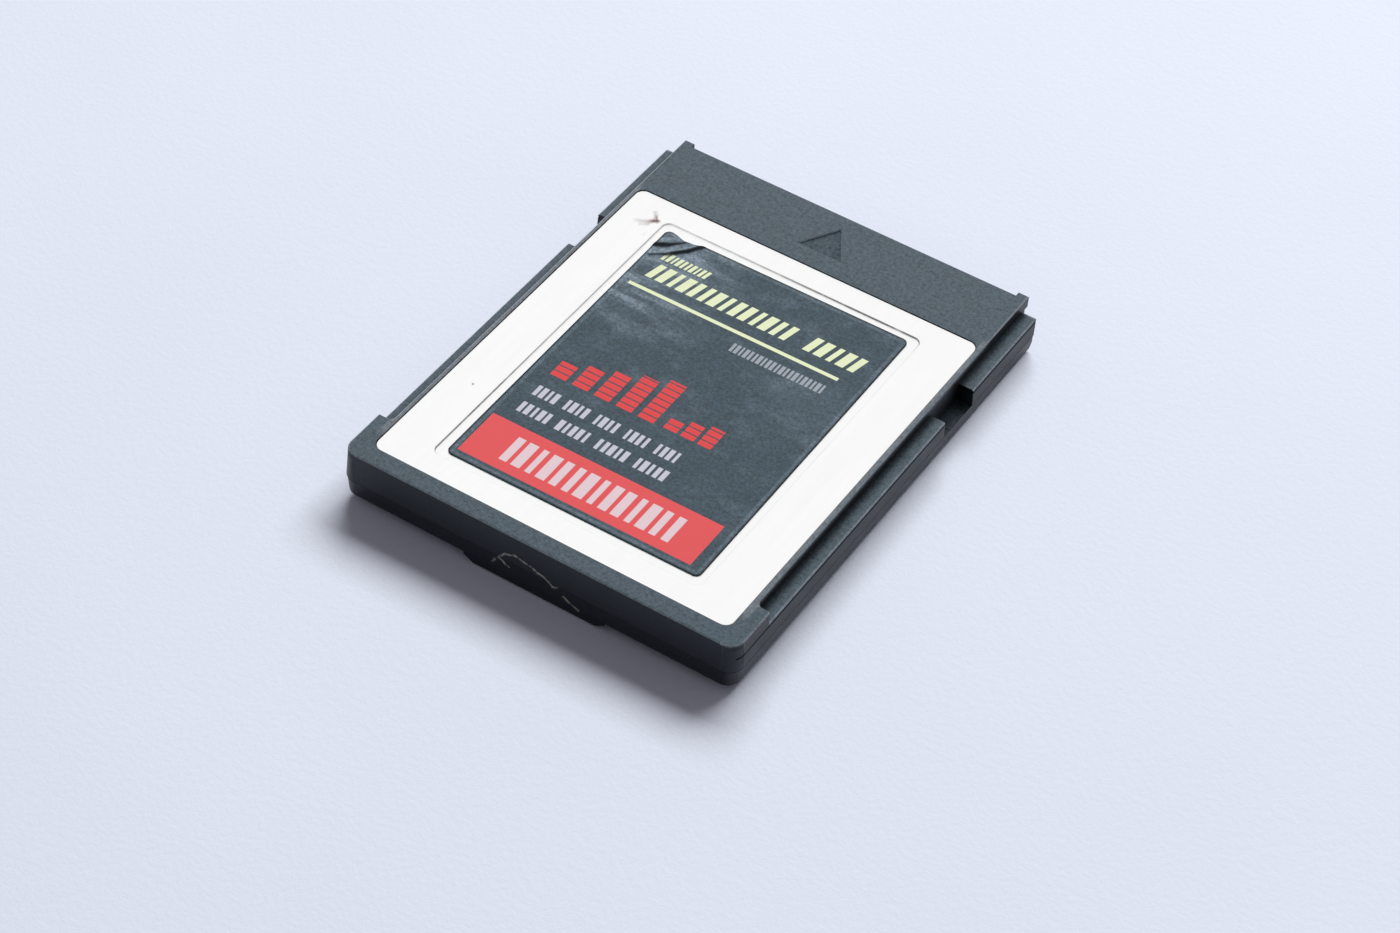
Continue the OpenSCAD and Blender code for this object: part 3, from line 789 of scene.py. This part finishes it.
@dataclass(frozen=True)
class PrintedFilm(Finish):
    """Charcoal film with plain printed fields and a patchy gloss, wrinkled by use, with painted light in its
    colour.

    Attributes:
        outline: Outline of the label.
        folds: Lines of the creases at the wrinkled corner.
        turn: Angle of the label, in degrees.
        ground: Colour of the film.
        film_sheen: Colour of the painted sheen on the film's patches and sweeps.
        crease_shade: Colour of the painted shade in the creases.
        highlight_bands: Lines of the painted highlights on the wrinkles, beside the creases.
        prints: Printed bars, rows and meters.
    """

    outline: Outline
    folds: tuple[tuple[Spot, ...], ...]
    turn: float
    ground: Colour = (0.028, 0.052, 0.070)
    # Painted sheen on the film.
    film_sheen: Colour = (0.175, 0.225, 0.265)
    # Painted shade in the creases.
    crease_shade: Colour = (0.002, 0.004, 0.007)
    # Painted highlights on the wrinkles.
    highlight_bands: tuple[Mark, ...] = (
        Mark(((-9.15, 8.45), (-8.35, 8.90), (-7.60, 9.70), (-7.30, 10.1))),
        Mark(((-9.35, 9.45), (-8.90, 9.90), (-8.45, 10.25)), 0.05),
        Mark(((-9.3, 7.25), (-8.2, 7.80)), 0.08))
    prints: tuple[Bar | Strokes | Meter, ...] = (
        Strokes(-8.35, 7.90, 8.70, 0.36, 10, Ink.LEMON, 0.2),
        Strokes(-8.40, 5.90, 7.45, 0.80, 14, Ink.LEMON, 0.22),
        Strokes(3.85, 5.90, 7.45, 0.84, 5, Ink.LEMON, 0.22),
        Bar(-8.75, 7.45, 4.62, 4.92, Ink.LEMON),
        Strokes(0.10, 2.95, 3.80, 0.34, 21, Ink.GREY),
        Meter(-8.05, -5.65, 1.5, 4.1, 5, 1.2, 0.48, Ink.RED),
        Meter(0.55, -5.55, 1.1, 1.9, 3, 1.0, 0.28, Ink.RED),
        Strokes(-8.05, -7.90, -6.90, 0.46, 24, Ink.LILAC, 0.0, 5),
        Strokes(-8.05, -9.70, -8.70, 0.49, 23, Ink.LILAC, 0.0, 6),
        Bar(-8.95, 8.45, -14.75, -10.75, Ink.BAND),
        Strokes(-6.55, -13.95, -11.60, 0.93, 14, Ink.PINK))

    def sheen_patches(self, tree: Tree) -> Val:
        """Mask of the patchy gloss and its painted sheen: soft clouds, with slanting sweeps beside the
        wrinkled corner.

        Args:
            tree: Tree of the material.

        Returns:
            The mask.
        """
        x, y, _ = tree.axes()
        cloud = tree.noise((2.6, 1.6, 1.0), detail=4.0, rough=0.6, shift=6.0)
        slanting = tree.add("ShaderNodeMapping", None,
                            {"Vector": tree.point(), "Rotation": (0.0, 0.0, math.radians(-32.0)),
                             "Scale": (0.22, 1.0, 1.0)}).outputs[0]
        sweep = Val(tree, tree.add("ShaderNodeTexNoise", None,
                                   {"Vector": slanting, "Scale": 0.9, "Detail": 3.0}).outputs[0])
        near_corner = x.rise(-1.0, -7.5) * y.rise(-0.5, 3.5)
        return (cloud.rise(0.46, 0.80) * 0.30 + sweep.rise(0.40, 0.64) * near_corner
                + near_corner * 0.10 + tree.noise(9.0, detail=1.0, shift=30.0).rise(0.4, 0.7) * 0.12)

    def shaded_creases(self, tree: Tree) -> Val:
        """Mask of the painted shade in the creases at the wrinkled corner, each of which thins out at one
        end.

        Args:
            tree: Tree of the material.

        Returns:
            The mask.
        """
        x, y, _ = tree.axes()
        flat = tree.flat(x, y)
        first = tree.track(flat, self.folds[0]) + x.rise(-9.0, -7.8) * 0.16
        second = tree.track(flat, self.folds[1]) + 0.04 + x.rise(-7.8, -8.8) * 0.14
        return first.least(second).rise(0.38, 0.12)

    def ridge_highlights(self, tree: Tree) -> Val:
        """Mask of the painted highlights on the wrinkles, between and beside the creases."""
        x, y, _ = tree.axes()
        return tree.nearest(tree.flat(x, y), self.highlight_bands).rise(0.36, 0.02)

    def shade(self, tree: Tree) -> dict[str, Any]:
        """Adds the finish's nodes.

        Args:
            tree: Tree of the material.

        Returns:
            What feeds the shader's sockets.
        """
        turned = tree.add("ShaderNodeMapping", None,
                          {"Vector": tree.point(), "Rotation": (0.0, 0.0, math.radians(-self.turn))})
        x, y, _ = tree.axes(turned.outputs[0])
        fine = tree.noise(0.20, detail=3.0, rough=0.7)
        # Patchy gloss, which also paints a sheen into the colour.
        haze = self.sheen_patches(tree)
        past = tree.beyond(self.outline, x, y)
        # Painted sheen and painted highlights, with a paler band just inside the label's edge.
        pale = haze + abs(past + 0.26).rise(0.16, 0.05) * 0.30 + self.ridge_highlights(tree) * 0.8
        film = tree.mix(pale.least(1.0), self.ground, self.film_sheen)
        colour = tree.scaled(film, ((fine - 0.5) * 3.0 + 1.0).most(0.1))
        flecks = tree.noise(0.16, detail=3.0, rough=0.7, shift=17.0).rise(0.69, 0.76)
        for design in self.prints:
            colour = tree.mix(design.mask(tree, x, y) * (0.97 - flecks * 0.35), colour, design.ink.value)
        # Painted shade in the creases, with a dark line along the label's edge; dark metal there takes the
        # film's gloss away.
        shaded_creases = self.shaded_creases(tree).most(abs(past + 0.02).rise(0.07, 0.03) * 0.8)
        return {
            "Base Color": tree.mix(shaded_creases * 0.92, colour, self.crease_shade),
            "Metallic": shaded_creases * 0.75,
            "Roughness": 0.34 + haze * 0.20 + fine * 0.10 + shaded_creases * 0.25,
            "Normal": tree.bump(haze * 0.7 + fine * 0.06, 0.03),
        }


@dataclass(frozen=True)
class PlainPlastic(Finish):
    """Plastic, resin or ceramic of one colour with a fine grain.

    Attributes:
        colour: Its colour.
        roughness: Its middle roughness.
        grain: Size of its grains.
        depth: Height of the grains.
    """

    colour: Colour
    roughness: float = 0.5
    grain: float = 0.08
    depth: float = 0.004

    def shade(self, tree: Tree) -> dict[str, Any]:
        """Adds the finish's nodes.

        Args:
            tree: Tree of the material.

        Returns:
            What feeds the shader's sockets.
        """
        grain = tree.noise(self.grain, detail=3.0, rough=0.6)
        cloud = tree.noise(1.4, detail=3.0, shift=4.0)
        return {
            "Base Color": tree.scaled(self.colour, 0.75 + grain * 0.25 + cloud * 0.25),
            "Roughness": self.roughness + (cloud - 0.5) * 0.2,
            "Normal": tree.bump(grain, self.depth),
        }


@dataclass(frozen=True)
class PlatedMetal(Finish):
    """Plated metal with faint rolling marks.

    Attributes:
        colour: Colour of the plating.
        roughness: Its middle roughness.
    """

    colour: Colour
    roughness: float = 0.24

    def shade(self, tree: Tree) -> dict[str, Any]:
        """Adds the finish's nodes.

        Args:
            tree: Tree of the material.

        Returns:
            What feeds the shader's sockets.
        """
        rolled = tree.noise((0.05, 1.6, 0.3), detail=2.0)
        cloud = tree.noise(0.9, detail=2.0, shift=4.0)
        return {
            "Base Color": tree.scaled(self.colour, 0.86 + cloud * 0.2),
            "Metallic": 1.0,
            "Roughness": self.roughness + (rolled - 0.5) * 0.12,
            "Normal": tree.bump(rolled, 0.002),
        }


@dataclass(frozen=True)
class SolderMask(Finish):
    """Green board with lighter lines where copper runs under the mask.

    Attributes:
        mask: Colour over bare board.
        copper: Colour over copper.
        pitch: Distance between the lines.
    """

    mask: Colour = (0.012, 0.075, 0.038)
    copper: Colour = (0.03, 0.14, 0.07)
    pitch: float = 0.8

    def shade(self, tree: Tree) -> dict[str, Any]:
        """Adds the finish's nodes.

        Args:
            tree: Tree of the material.

        Returns:
            What feeds the shader's sockets.
        """
        place = tree.axes()[0] + tree.noise((9.0, 5.0, 9.0), detail=0.0) * 3.0
        lane = tree.math("PINGPONG", place, self.pitch / 2)
        traces = lane.rise(self.pitch * 0.2, self.pitch * 0.16) * tree.noise(2.0, shift=2.0).rise(0.45, 0.5)
        return {
            "Base Color": tree.mix(traces, self.mask, self.copper),
            "Roughness": 0.36 + tree.noise(0.7) * 0.1,
            "Normal": tree.bump(traces + tree.noise(0.1) * 0.1, 0.02),
        }


@dataclass(frozen=True)
class PaperSheet(Finish):
    """Pale blue-white paper with a soft tooth.

    Attributes:
        colour: Its colour.
    """

    colour: Colour = (0.775, 0.828, 0.925)

    def shade(self, tree: Tree) -> dict[str, Any]:
        """Adds the finish's nodes.

        Args:
            tree: Tree of the material.

        Returns:
            What feeds the shader's sockets.
        """
        tooth = tree.noise(0.40, detail=4.0, rough=0.65)
        cloud = tree.noise(30.0, detail=2.0, shift=2.0)
        return {
            "Base Color": tree.scaled(self.colour, 0.955 + tooth * 0.03 + cloud * 0.06),
            "Roughness": 0.9,
            "Specular IOR Level": 0.1,
            "Normal": tree.bump(tooth, 0.03),
        }


class Bench:
    """Ways to copy, select and shape pieces in edit mode.

    Attributes:
        MERGE: Distance below which two points are one.
        LEVEL: Angle below which two faces are one, in degrees.
        SHARP: Angle above which an edge is sharp, in degrees.
        BLUNT: Widest angle between two faces that is smoothed, in degrees.
        WIDE: Area above which a face stays flat, in square millimetres.
    """

    MERGE: float = 0.001
    LEVEL: float = 0.2
    SHARP: float = 30.0
    BLUNT: float = 50.0
    WIDE: float = 0.6

    @staticmethod
    def only(piece: Piece) -> None:
        """Selects the piece and nothing else, and makes it active.

        Args:
            piece: The piece.
        """
        if bpy.context.object is not None and bpy.context.object.mode != "OBJECT":
            bpy.ops.object.mode_set(mode="OBJECT")
        bpy.ops.object.select_all(action="DESELECT")
        piece.select_set(True)
        bpy.context.view_layer.objects.active = piece

    @classmethod
    def copy_of(cls, node: str, name: str) -> Piece:
        """Copies a CAD node's mesh, merges its loose triangles and joins its flat faces.

        Args:
            node: Name of the CAD node.
            name: Name of the new piece.

        Returns:
            The new piece, which stands where the node stands.
        """
        piece = bpy.data.objects.new(name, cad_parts[node].data.copy())
        piece.data.name = name
        bpy.context.scene.collection.objects.link(piece)
        cls.only(piece)
        bpy.ops.mesh.customdata_custom_splitnormals_clear()
        bpy.ops.object.mode_set(mode="EDIT")
        bpy.ops.mesh.select_all(action="SELECT")
        bpy.ops.mesh.remove_doubles(threshold=cls.MERGE * MM)
        bpy.ops.mesh.dissolve_limited(angle_limit=math.radians(cls.LEVEL))
        bpy.ops.object.mode_set(mode="OBJECT")
        return piece

    @classmethod
    def select_edges(cls, piece: Piece, test: Callable[[Vector, Vector], bool]) -> None:
        """Leaves the piece in edit mode with only its sharp edges selected whose ends pass the test.

        Args:
            piece: The piece to select on.
            test: Says whether an edge is taken, from its two ends in millimetres.
        """
        cls.only(piece)
        bpy.ops.object.mode_set(mode="EDIT")
        bpy.ops.mesh.select_mode(type="EDGE")
        bpy.ops.mesh.select_all(action="DESELECT")
        bpy.ops.mesh.edges_select_sharp(sharpness=math.radians(cls.SHARP))
        bpy.ops.object.mode_set(mode="OBJECT")
        spots = [vertex.co / MM for vertex in piece.data.vertices]
        for face in piece.data.polygons:
            face.select = False
        for edge in piece.data.edges:
            edge.select = edge.select and test(spots[edge.vertices[0]], spots[edge.vertices[1]])
        bpy.ops.object.mode_set(mode="EDIT")

    @classmethod
    def round_edges(cls, piece: Piece, radius: float,
                    test: Callable[[Vector, Vector], bool]) -> None:
        """Rounds the sharp edges that pass the test.

        Args:
            piece: The piece to round.
            radius: Radius of the rounding.
            test: Says whether an edge is taken, from its two ends in millimetres.
        """
        cls.select_edges(piece, test)
        bpy.ops.mesh.bevel(offset=radius * MM, segments=3, affect="EDGES", clamp_overlap=True)
        bpy.ops.object.mode_set(mode="OBJECT")

    @classmethod
    def smooth(cls, piece: Piece) -> None:
        """Smooths the shading across blunt edges and keeps wide faces flat.

        Args:
            piece: The piece to shade.
        """
        cls.only(piece)
        bpy.ops.object.shade_smooth_by_angle(angle=math.radians(cls.BLUNT))
        bpy.ops.object.mode_set(mode="EDIT")
        bpy.ops.mesh.select_mode(type="FACE")
        bpy.ops.mesh.select_all(action="DESELECT")
        bpy.ops.object.mode_set(mode="OBJECT")
        for face in piece.data.polygons:
            face.select = face.area > cls.WIDE * MM * MM
        bpy.ops.object.mode_set(mode="EDIT")
        bpy.ops.mesh.faces_shade_flat()
        bpy.ops.object.mode_set(mode="OBJECT")

    @staticmethod
    def stand_for(piece: Piece, node: str, finish: Finish) -> None:
        """Dresses the piece and lets it ride with the card in place of a CAD node.

        Args:
            piece: The piece.
            node: Name of the CAD node.
            finish: The piece's finish.
        """
        finish.dress(piece)
        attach(piece, "root")
        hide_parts(node)
        LOG.info("%s stands for %s: %d faces", piece.name, node, len(piece.data.polygons))


@dataclass
class Mouldings:
    """The two black mouldings that meet at the parting line.

    Attributes:
        finish: Their plastic.
        arrow_radius: Rounding of the recessed arrow's upper edges.
        arrow_margin: Distance outside the arrow within which an edge still belongs to it.
    """

    finish: MouldedPlastic = MouldedPlastic("frame_black")
    arrow_radius: float = 0.09
    arrow_margin: float = 0.2

    def round_arrow(self, piece: Piece) -> None:
        """Rounds the upper edges of the recessed arrow.

        Args:
            piece: The upper moulding.
        """
        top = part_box("upper_frame")[1].z / MM - NEAR
        (_, tip_y), (foot_x, foot_y) = self.finish.arrow
        rear, front, side = foot_y - self.arrow_margin, tip_y + self.arrow_margin, foot_x + self.arrow_margin
        Bench.round_edges(piece, self.arrow_radius, lambda *ends: all(
            end.z > top and abs(end.x) < side and rear < end.y < front for end in ends))

    def build(self) -> None:
        """Copies both mouldings, smooths their edges and dresses them."""
        for node in ("upper_frame", "lower_frame"):
            piece = Bench.copy_of(node, f"{node}_moulding")
            if node == "upper_frame":
                self.round_arrow(piece)
            Bench.smooth(piece)
            Bench.stand_for(piece, node, self.finish)


@dataclass
class Covers:
    """The two steel sheets.

    Attributes:
        finish: Their steel.
        press_radius: Rounding of the pressed pocket's edges.
    """

    finish: BrushedSteel = BrushedSteel("cover_steel")
    press_radius: float = 0.045

    def round_pocket(self, piece: Piece) -> None:
        """Rounds the edges at the pocket's floor and at the sheet's top.

        Args:
            piece: The upper sheet.
        """
        floor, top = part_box("label")[0].z / MM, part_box("top_cover")[1].z / MM
        Bench.round_edges(piece, self.press_radius, lambda *ends: any(
            all(abs(end.z - height) < NEAR for end in ends) for height in (floor, top)))

    def build(self) -> None:
        """Copies both covers, rounds the pressed edges and dresses them."""
        for node in ("top_cover", "bottom_cover"):
            piece = Bench.copy_of(node, f"{node}_sheet")
            if node == "top_cover":
                self.round_pocket(piece)
            Bench.smooth(piece)
            Bench.stand_for(piece, node, self.finish)


@dataclass
class Label:
    """The film label, with one corner wrinkled and lifted where it met the pocket's edge.

    Attributes:
        turn: Angle at which it lies, in degrees.
        radius: Radius of its corners.
        pitch: Distance between the cuts that let the film bend.
        corner_x: Right end of the wrinkled stretch.
        corner_y: Rear end of the wrinkled stretch.
        ridge: Height of the wrinkles.
        ridge_width: Distance from its line at which a wrinkle has sunk to about a third.
        fade: Length over which the wrinkles rise from the flat film.
        draw: Length by which the front edge is drawn in.
        draw_x: Place along that edge where it is drawn in most.
        draw_width: Distance from there at which that has sunk to about a third.
        draw_y: Place behind which the film isn't drawn in.
        draw_fade: Lengths across and along over which that begins.
        blunt: Widest angle between two faces that is smoothed, in degrees.
        folds: Lines of the wrinkles.
    """

    turn: float = 0.4
    radius: float = 0.45
    pitch: float = 0.11
    corner_x: float = -5.6
    corner_y: float = 7.4
    ridge: float = 0.07
    ridge_width: float = 0.26
    fade: float = 0.8
    draw: float = 0.34
    draw_x: float = -7.75
    draw_width: float = 0.85
    draw_y: float = 9.2
    draw_fade: tuple[float, float] = (0.6, 1.4)
    blunt: float = 40.0
    folds: tuple[tuple[Spot, ...], ...] = (
        ((-9.9, 8.62), (-9.20, 8.95), (-8.55, 9.35), (-7.90, 10.05), (-7.6, 10.6)),
        ((-9.2, 7.75), (-8.25, 8.40), (-7.25, 9.50), (-6.60, 10.6)))

    @staticmethod
    def held(share: float) -> float:
        """Share held between 0 and 1."""
        return max(0.0, min(1.0, share))

    def gap(self, spot: Spot, line: tuple[Spot, ...]) -> float:
        """Distance from a spot to an open line.

        Args:
            spot: The spot.
            line: Points of the line.

        Returns:
            The distance.
        """
        nearest = math.inf
        for start, end in zip(line, line[1:]):
            run = Vector(end) - Vector(start)
            away = Vector(spot) - Vector(start)
            nearest = min(nearest, (away - run * self.held(away.dot(run) / run.length_squared)).length)
        return nearest

    def shift(self, x: float, y: float) -> Vector:
        """Way that the wrinkles move a place on the film.

        Args:
            x: Place across the card.
            y: Place along the card.

        Returns:
            The move: up along the folds, and back where they draw the front edge in.
        """
        fade = self.held((self.corner_x - 0.2 - x) / self.fade) * self.held((y - self.corner_y) / self.fade)
        folds = sum(math.exp(-((self.gap((x, y), line) / self.ridge_width) ** 2)) for line in self.folds)
        across = self.held((self.corner_x - x) / self.draw_fade[0])
        along = self.held((y - self.draw_y) / self.draw_fade[1]) ** 2
        near = math.exp(-(((x - self.draw_x) / self.draw_width) ** 2))
        return Vector((0.0, -across * along * self.draw * near, fade * self.ridge * min(1.0, folds)))

    def build(self) -> None:
        """Copies the flat label, cuts its corner into a grid, lifts the folds and dresses it."""
        piece = Bench.copy_of("label", "label_wrinkled")
        low, high = (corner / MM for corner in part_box("label"))
        cuts = [((x, 0.0), (1.0, 0.0)) for x in self.steps(low.x, self.corner_x)]
        cuts += [((0.0, y), (0.0, 1.0)) for y in self.steps(self.corner_y, high.y)]
        Bench.only(piece)
        bpy.ops.object.mode_set(mode="EDIT")
        bpy.ops.mesh.select_mode(type="FACE")
        for (x, y), (across, along) in cuts:
            bpy.ops.mesh.select_all(action="SELECT")
            bpy.ops.mesh.bisect(plane_co=(x * MM, y * MM, 0.0), plane_no=(across, along, 0.0))
        bpy.ops.object.mode_set(mode="OBJECT")
        for vertex in piece.data.vertices:
            x, y, _ = vertex.co / MM
            vertex.co += self.shift(x, y) * MM
        bpy.ops.object.shade_smooth_by_angle(angle=math.radians(self.blunt))
        outline = Outline.of_label(self.radius, self.turn)
        Bench.stand_for(piece, "label", PrintedFilm("label_film", outline, self.folds, self.turn))

    def steps(self, start: float, end: float) -> list[float]:
        """Places of the cuts between two ends."""
        count = round((end - start) / self.pitch)
        return [start + (end - start) * (step + 0.5) / count for step in range(count)]


@dataclass
class Connector:
    """The slotted comb and its sprung contacts.

    Attributes:
        comb: Plastic of the comb.
        gold: Plating of the contacts.
    """

    comb: PlainPlastic = PlainPlastic("comb_plastic", (0.012, 0.012, 0.014), 0.42)
    gold: PlatedMetal = PlatedMetal("contact_gold", (0.83, 0.56, 0.20), 0.22)

    def build(self) -> None:
        """Dresses the comb and the contacts."""
        self.comb.dress(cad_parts["connector_housing"])
        for name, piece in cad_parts.items():
            if name.startswith("contact_"):
                self.gold.dress(piece)
        LOG.info("connector dressed")


@dataclass
class BoardAssembly:
    """The circuit board with its chips, small parts and heat pads.

    Attributes:
        packages: Names that the chip packages' nodes start with.
        finishes: Finish of each kind of piece.
    """

    packages: tuple[str, ...] = ("controller", "working_memory", "power_chip", "memory")
    finishes: dict[str, Finish] = field(default_factory=lambda: {
        "circuit_board": SolderMask("board_green"),
        "package": PlainPlastic("package_black", (0.018, 0.018, 0.020), 0.52, 0.06, 0.006),
        "crystal": PlatedMetal("crystal_can", (0.78, 0.77, 0.72), 0.2),
        "coil": PlainPlastic("ferrite_grey", (0.055, 0.055, 0.057), 0.6, 0.05, 0.01),
        "capacitor": PlainPlastic("capacitor_brown", (0.26, 0.17, 0.09), 0.45, 0.05, 0.002),
        "pad": PlainPlastic("pad_blue", (0.16, 0.25, 0.40), 0.8, 0.12, 0.02),
    })

    def finish_of(self, name: str) -> Finish | None:
        """Finish of a node.

        Args:
            name: Name of the node.

        Returns:
            The finish, or None where the node isn't part of the board.
        """
        if "_pad" in name:
            return self.finishes["pad"]
        if name.startswith(self.packages):
            return self.finishes["package"]
        return self.finishes.get(name.rstrip("0123456789_"))

    def build(self) -> None:
        """Dresses every piece of the board."""
        for name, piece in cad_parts.items():
            finish = self.finish_of(name)
            if finish is not None:
                finish.dress(piece)
                LOG.info("%s dressed in %s", name, finish.name)


@dataclass
class Studio:
    """Paper floor, soft lamp, pale surroundings and the camera.

    Attributes:
        paper: Finish of the floor.
        floor_size: Side of the floor, in metres.
        ridge_y: Front edge of the ridge under the rear end, on which the card rests.
        belly_y: Front edge of the underside, on which it rests too.
        ridge_drop: Height of the underside above the ridge's foot.
        sky: Radiance of the surroundings on matt surfaces.
        sky_tint: Its colour.
        gloss: Radiance of the surroundings in reflections.
        gloss_right: Share of it that is left on the card's right.
        gloss_blend: Where, between left at -1 and right at 1, the surroundings begin and end to dim.
        back: Colour of the surroundings seen by the camera.
        key_toward: Direction from the card to the large lamp.
        key_distance: Distance of that lamp, in metres.
        key_size: Its sides, in metres.
        key_power: Its power, in watts.
        camera_at: Place of the camera.
        camera_toward: Point on the top face that the camera looks at.
        camera_roll: Turn of the camera about its own axis, in degrees.
        lens: Focal length for a sensor 36 mm wide.
    """

    paper: PaperSheet = PaperSheet("paper")
    floor_size: float = 3.0
    ridge_y: float = -17.6
    belly_y: float = 18.1
    ridge_drop: float = 0.55
    sky: float = 0.19
    sky_tint: Colour = (0.97, 0.90, 1.0)
    gloss: float = 1.03
    gloss_right: float = 0.62
    gloss_blend: tuple[float, float] = (-0.15, 0.30)
    back: Colour = (0.74, 0.79, 0.89)
    key_toward: Place = (-0.07, 0.64, 0.77)
    key_distance: float = 1.0
    key_size: tuple[float, float] = (0.82, 0.46)
    key_power: float = 11.9
    camera_at: Place = (82.012, -144.952, 162.076)
    camera_toward: Place = (4.473, -7.211, 4.35)
    camera_roll: float = -4.62
    lens: float = 91.09

    def floor(self) -> None:
        """Lays the paper so that it meets the ridge under the rear end and the front end's lower edge."""
        bpy.ops.object.select_all(action="DESELECT")
        bpy.ops.mesh.primitive_plane_add(size=self.floor_size)
        paper = bpy.context.object
        paper.name = "paper_floor"
        rise = self.ridge_drop / (self.belly_y - self.ridge_y)
        for vertex in paper.data.vertices:
            vertex.co.z = (vertex.co.y - self.ridge_y * MM) * rise
        self.paper.dress(paper)

    def lamp(self) -> None:
        """Adds the large soft lamp behind the card."""
        light = bpy.data.lights.new("key_lamp", "AREA")
        light.shape = "RECTANGLE"
        light.size, light.size_y = self.key_size
        light.energy = self.key_power
        key = bpy.data.objects.new("key_lamp", light)
        toward = Vector(self.key_toward).normalized()
        key.location = toward * self.key_distance
        key.rotation_euler = toward.to_track_quat("Z", "Y").to_euler()
        key.visible_glossy = False
        bpy.context.scene.collection.objects.link(key)

    def world(self) -> None:
        """Sets the surroundings: soft fill on matt surfaces, white in reflections, pale to the camera."""
        world = bpy.data.worlds.new("studio")
        bpy.context.scene.world = world
        tree = Tree(world)
        path = tree.add("ShaderNodeLightPath")
        right = tree.axes(tree.add("ShaderNodeTexCoord").outputs["Generated"])[0].rise(*self.gloss_blend)
        strength = (1.0 - right * (1.0 - self.gloss_right)) * self.gloss
        fill = tree.add("ShaderNodeBackground", None, {"Color": self.sky_tint, "Strength": self.sky})
        shine = tree.add("ShaderNodeBackground", None, {"Color": (1.0, 1.0, 1.0), "Strength": strength})
        seen = tree.add("ShaderNodeBackground", None, {"Color": self.back})
        mirrored = tree.math("MAXIMUM", path.outputs["Is Glossy Ray"], path.outputs["Is Transmission Ray"])
        lit = tree.add("ShaderNodeMixShader", None, {0: mirrored, 1: fill.outputs[0], 2: shine.outputs[0]})
        shown = tree.add("ShaderNodeMixShader", None,
                         {0: path.outputs["Is Camera Ray"], 1: lit.outputs[0], 2: seen.outputs[0]})
        tree.add("ShaderNodeOutputWorld", None, {"Surface": shown.outputs[0]})

    def camera(self) -> None:
        """Adds the camera at the photograph's viewing angle."""
        data = bpy.data.cameras.new("camera")
        data.sensor_width = 36.0
        data.lens = self.lens
        data.clip_start = 0.01
        camera = bpy.data.objects.new("camera", data)
        at = Vector(self.camera_at) * MM
        forward = (Vector(self.camera_toward) * MM - at).normalized()
        level = forward.to_track_quat("-Z", "Y").to_matrix().to_4x4()
        roll = Matrix.Rotation(math.radians(-self.camera_roll), 4, "Z")
        camera.matrix_world = Matrix.Translation(at) @ level @ roll
        bpy.context.scene.collection.objects.link(camera)
        bpy.context.scene.camera = camera

    def build(self) -> None:
        """Builds the floor, the lamp, the surroundings and the camera."""
        self.floor()
        self.lamp()
        self.world()
        self.camera()
        bpy.context.scene.view_settings.view_transform = "Standard"


def main() -> None:
    """Builds the studio and dresses the card."""
    logging.basicConfig(level=logging.INFO)
    for part in (Studio(), Mouldings(), Covers(), Label(), Connector(), BoardAssembly()):
        part.build()
        LOG.info("built: %s", type(part).__name__)


if __name__ == "__main__":
    main()
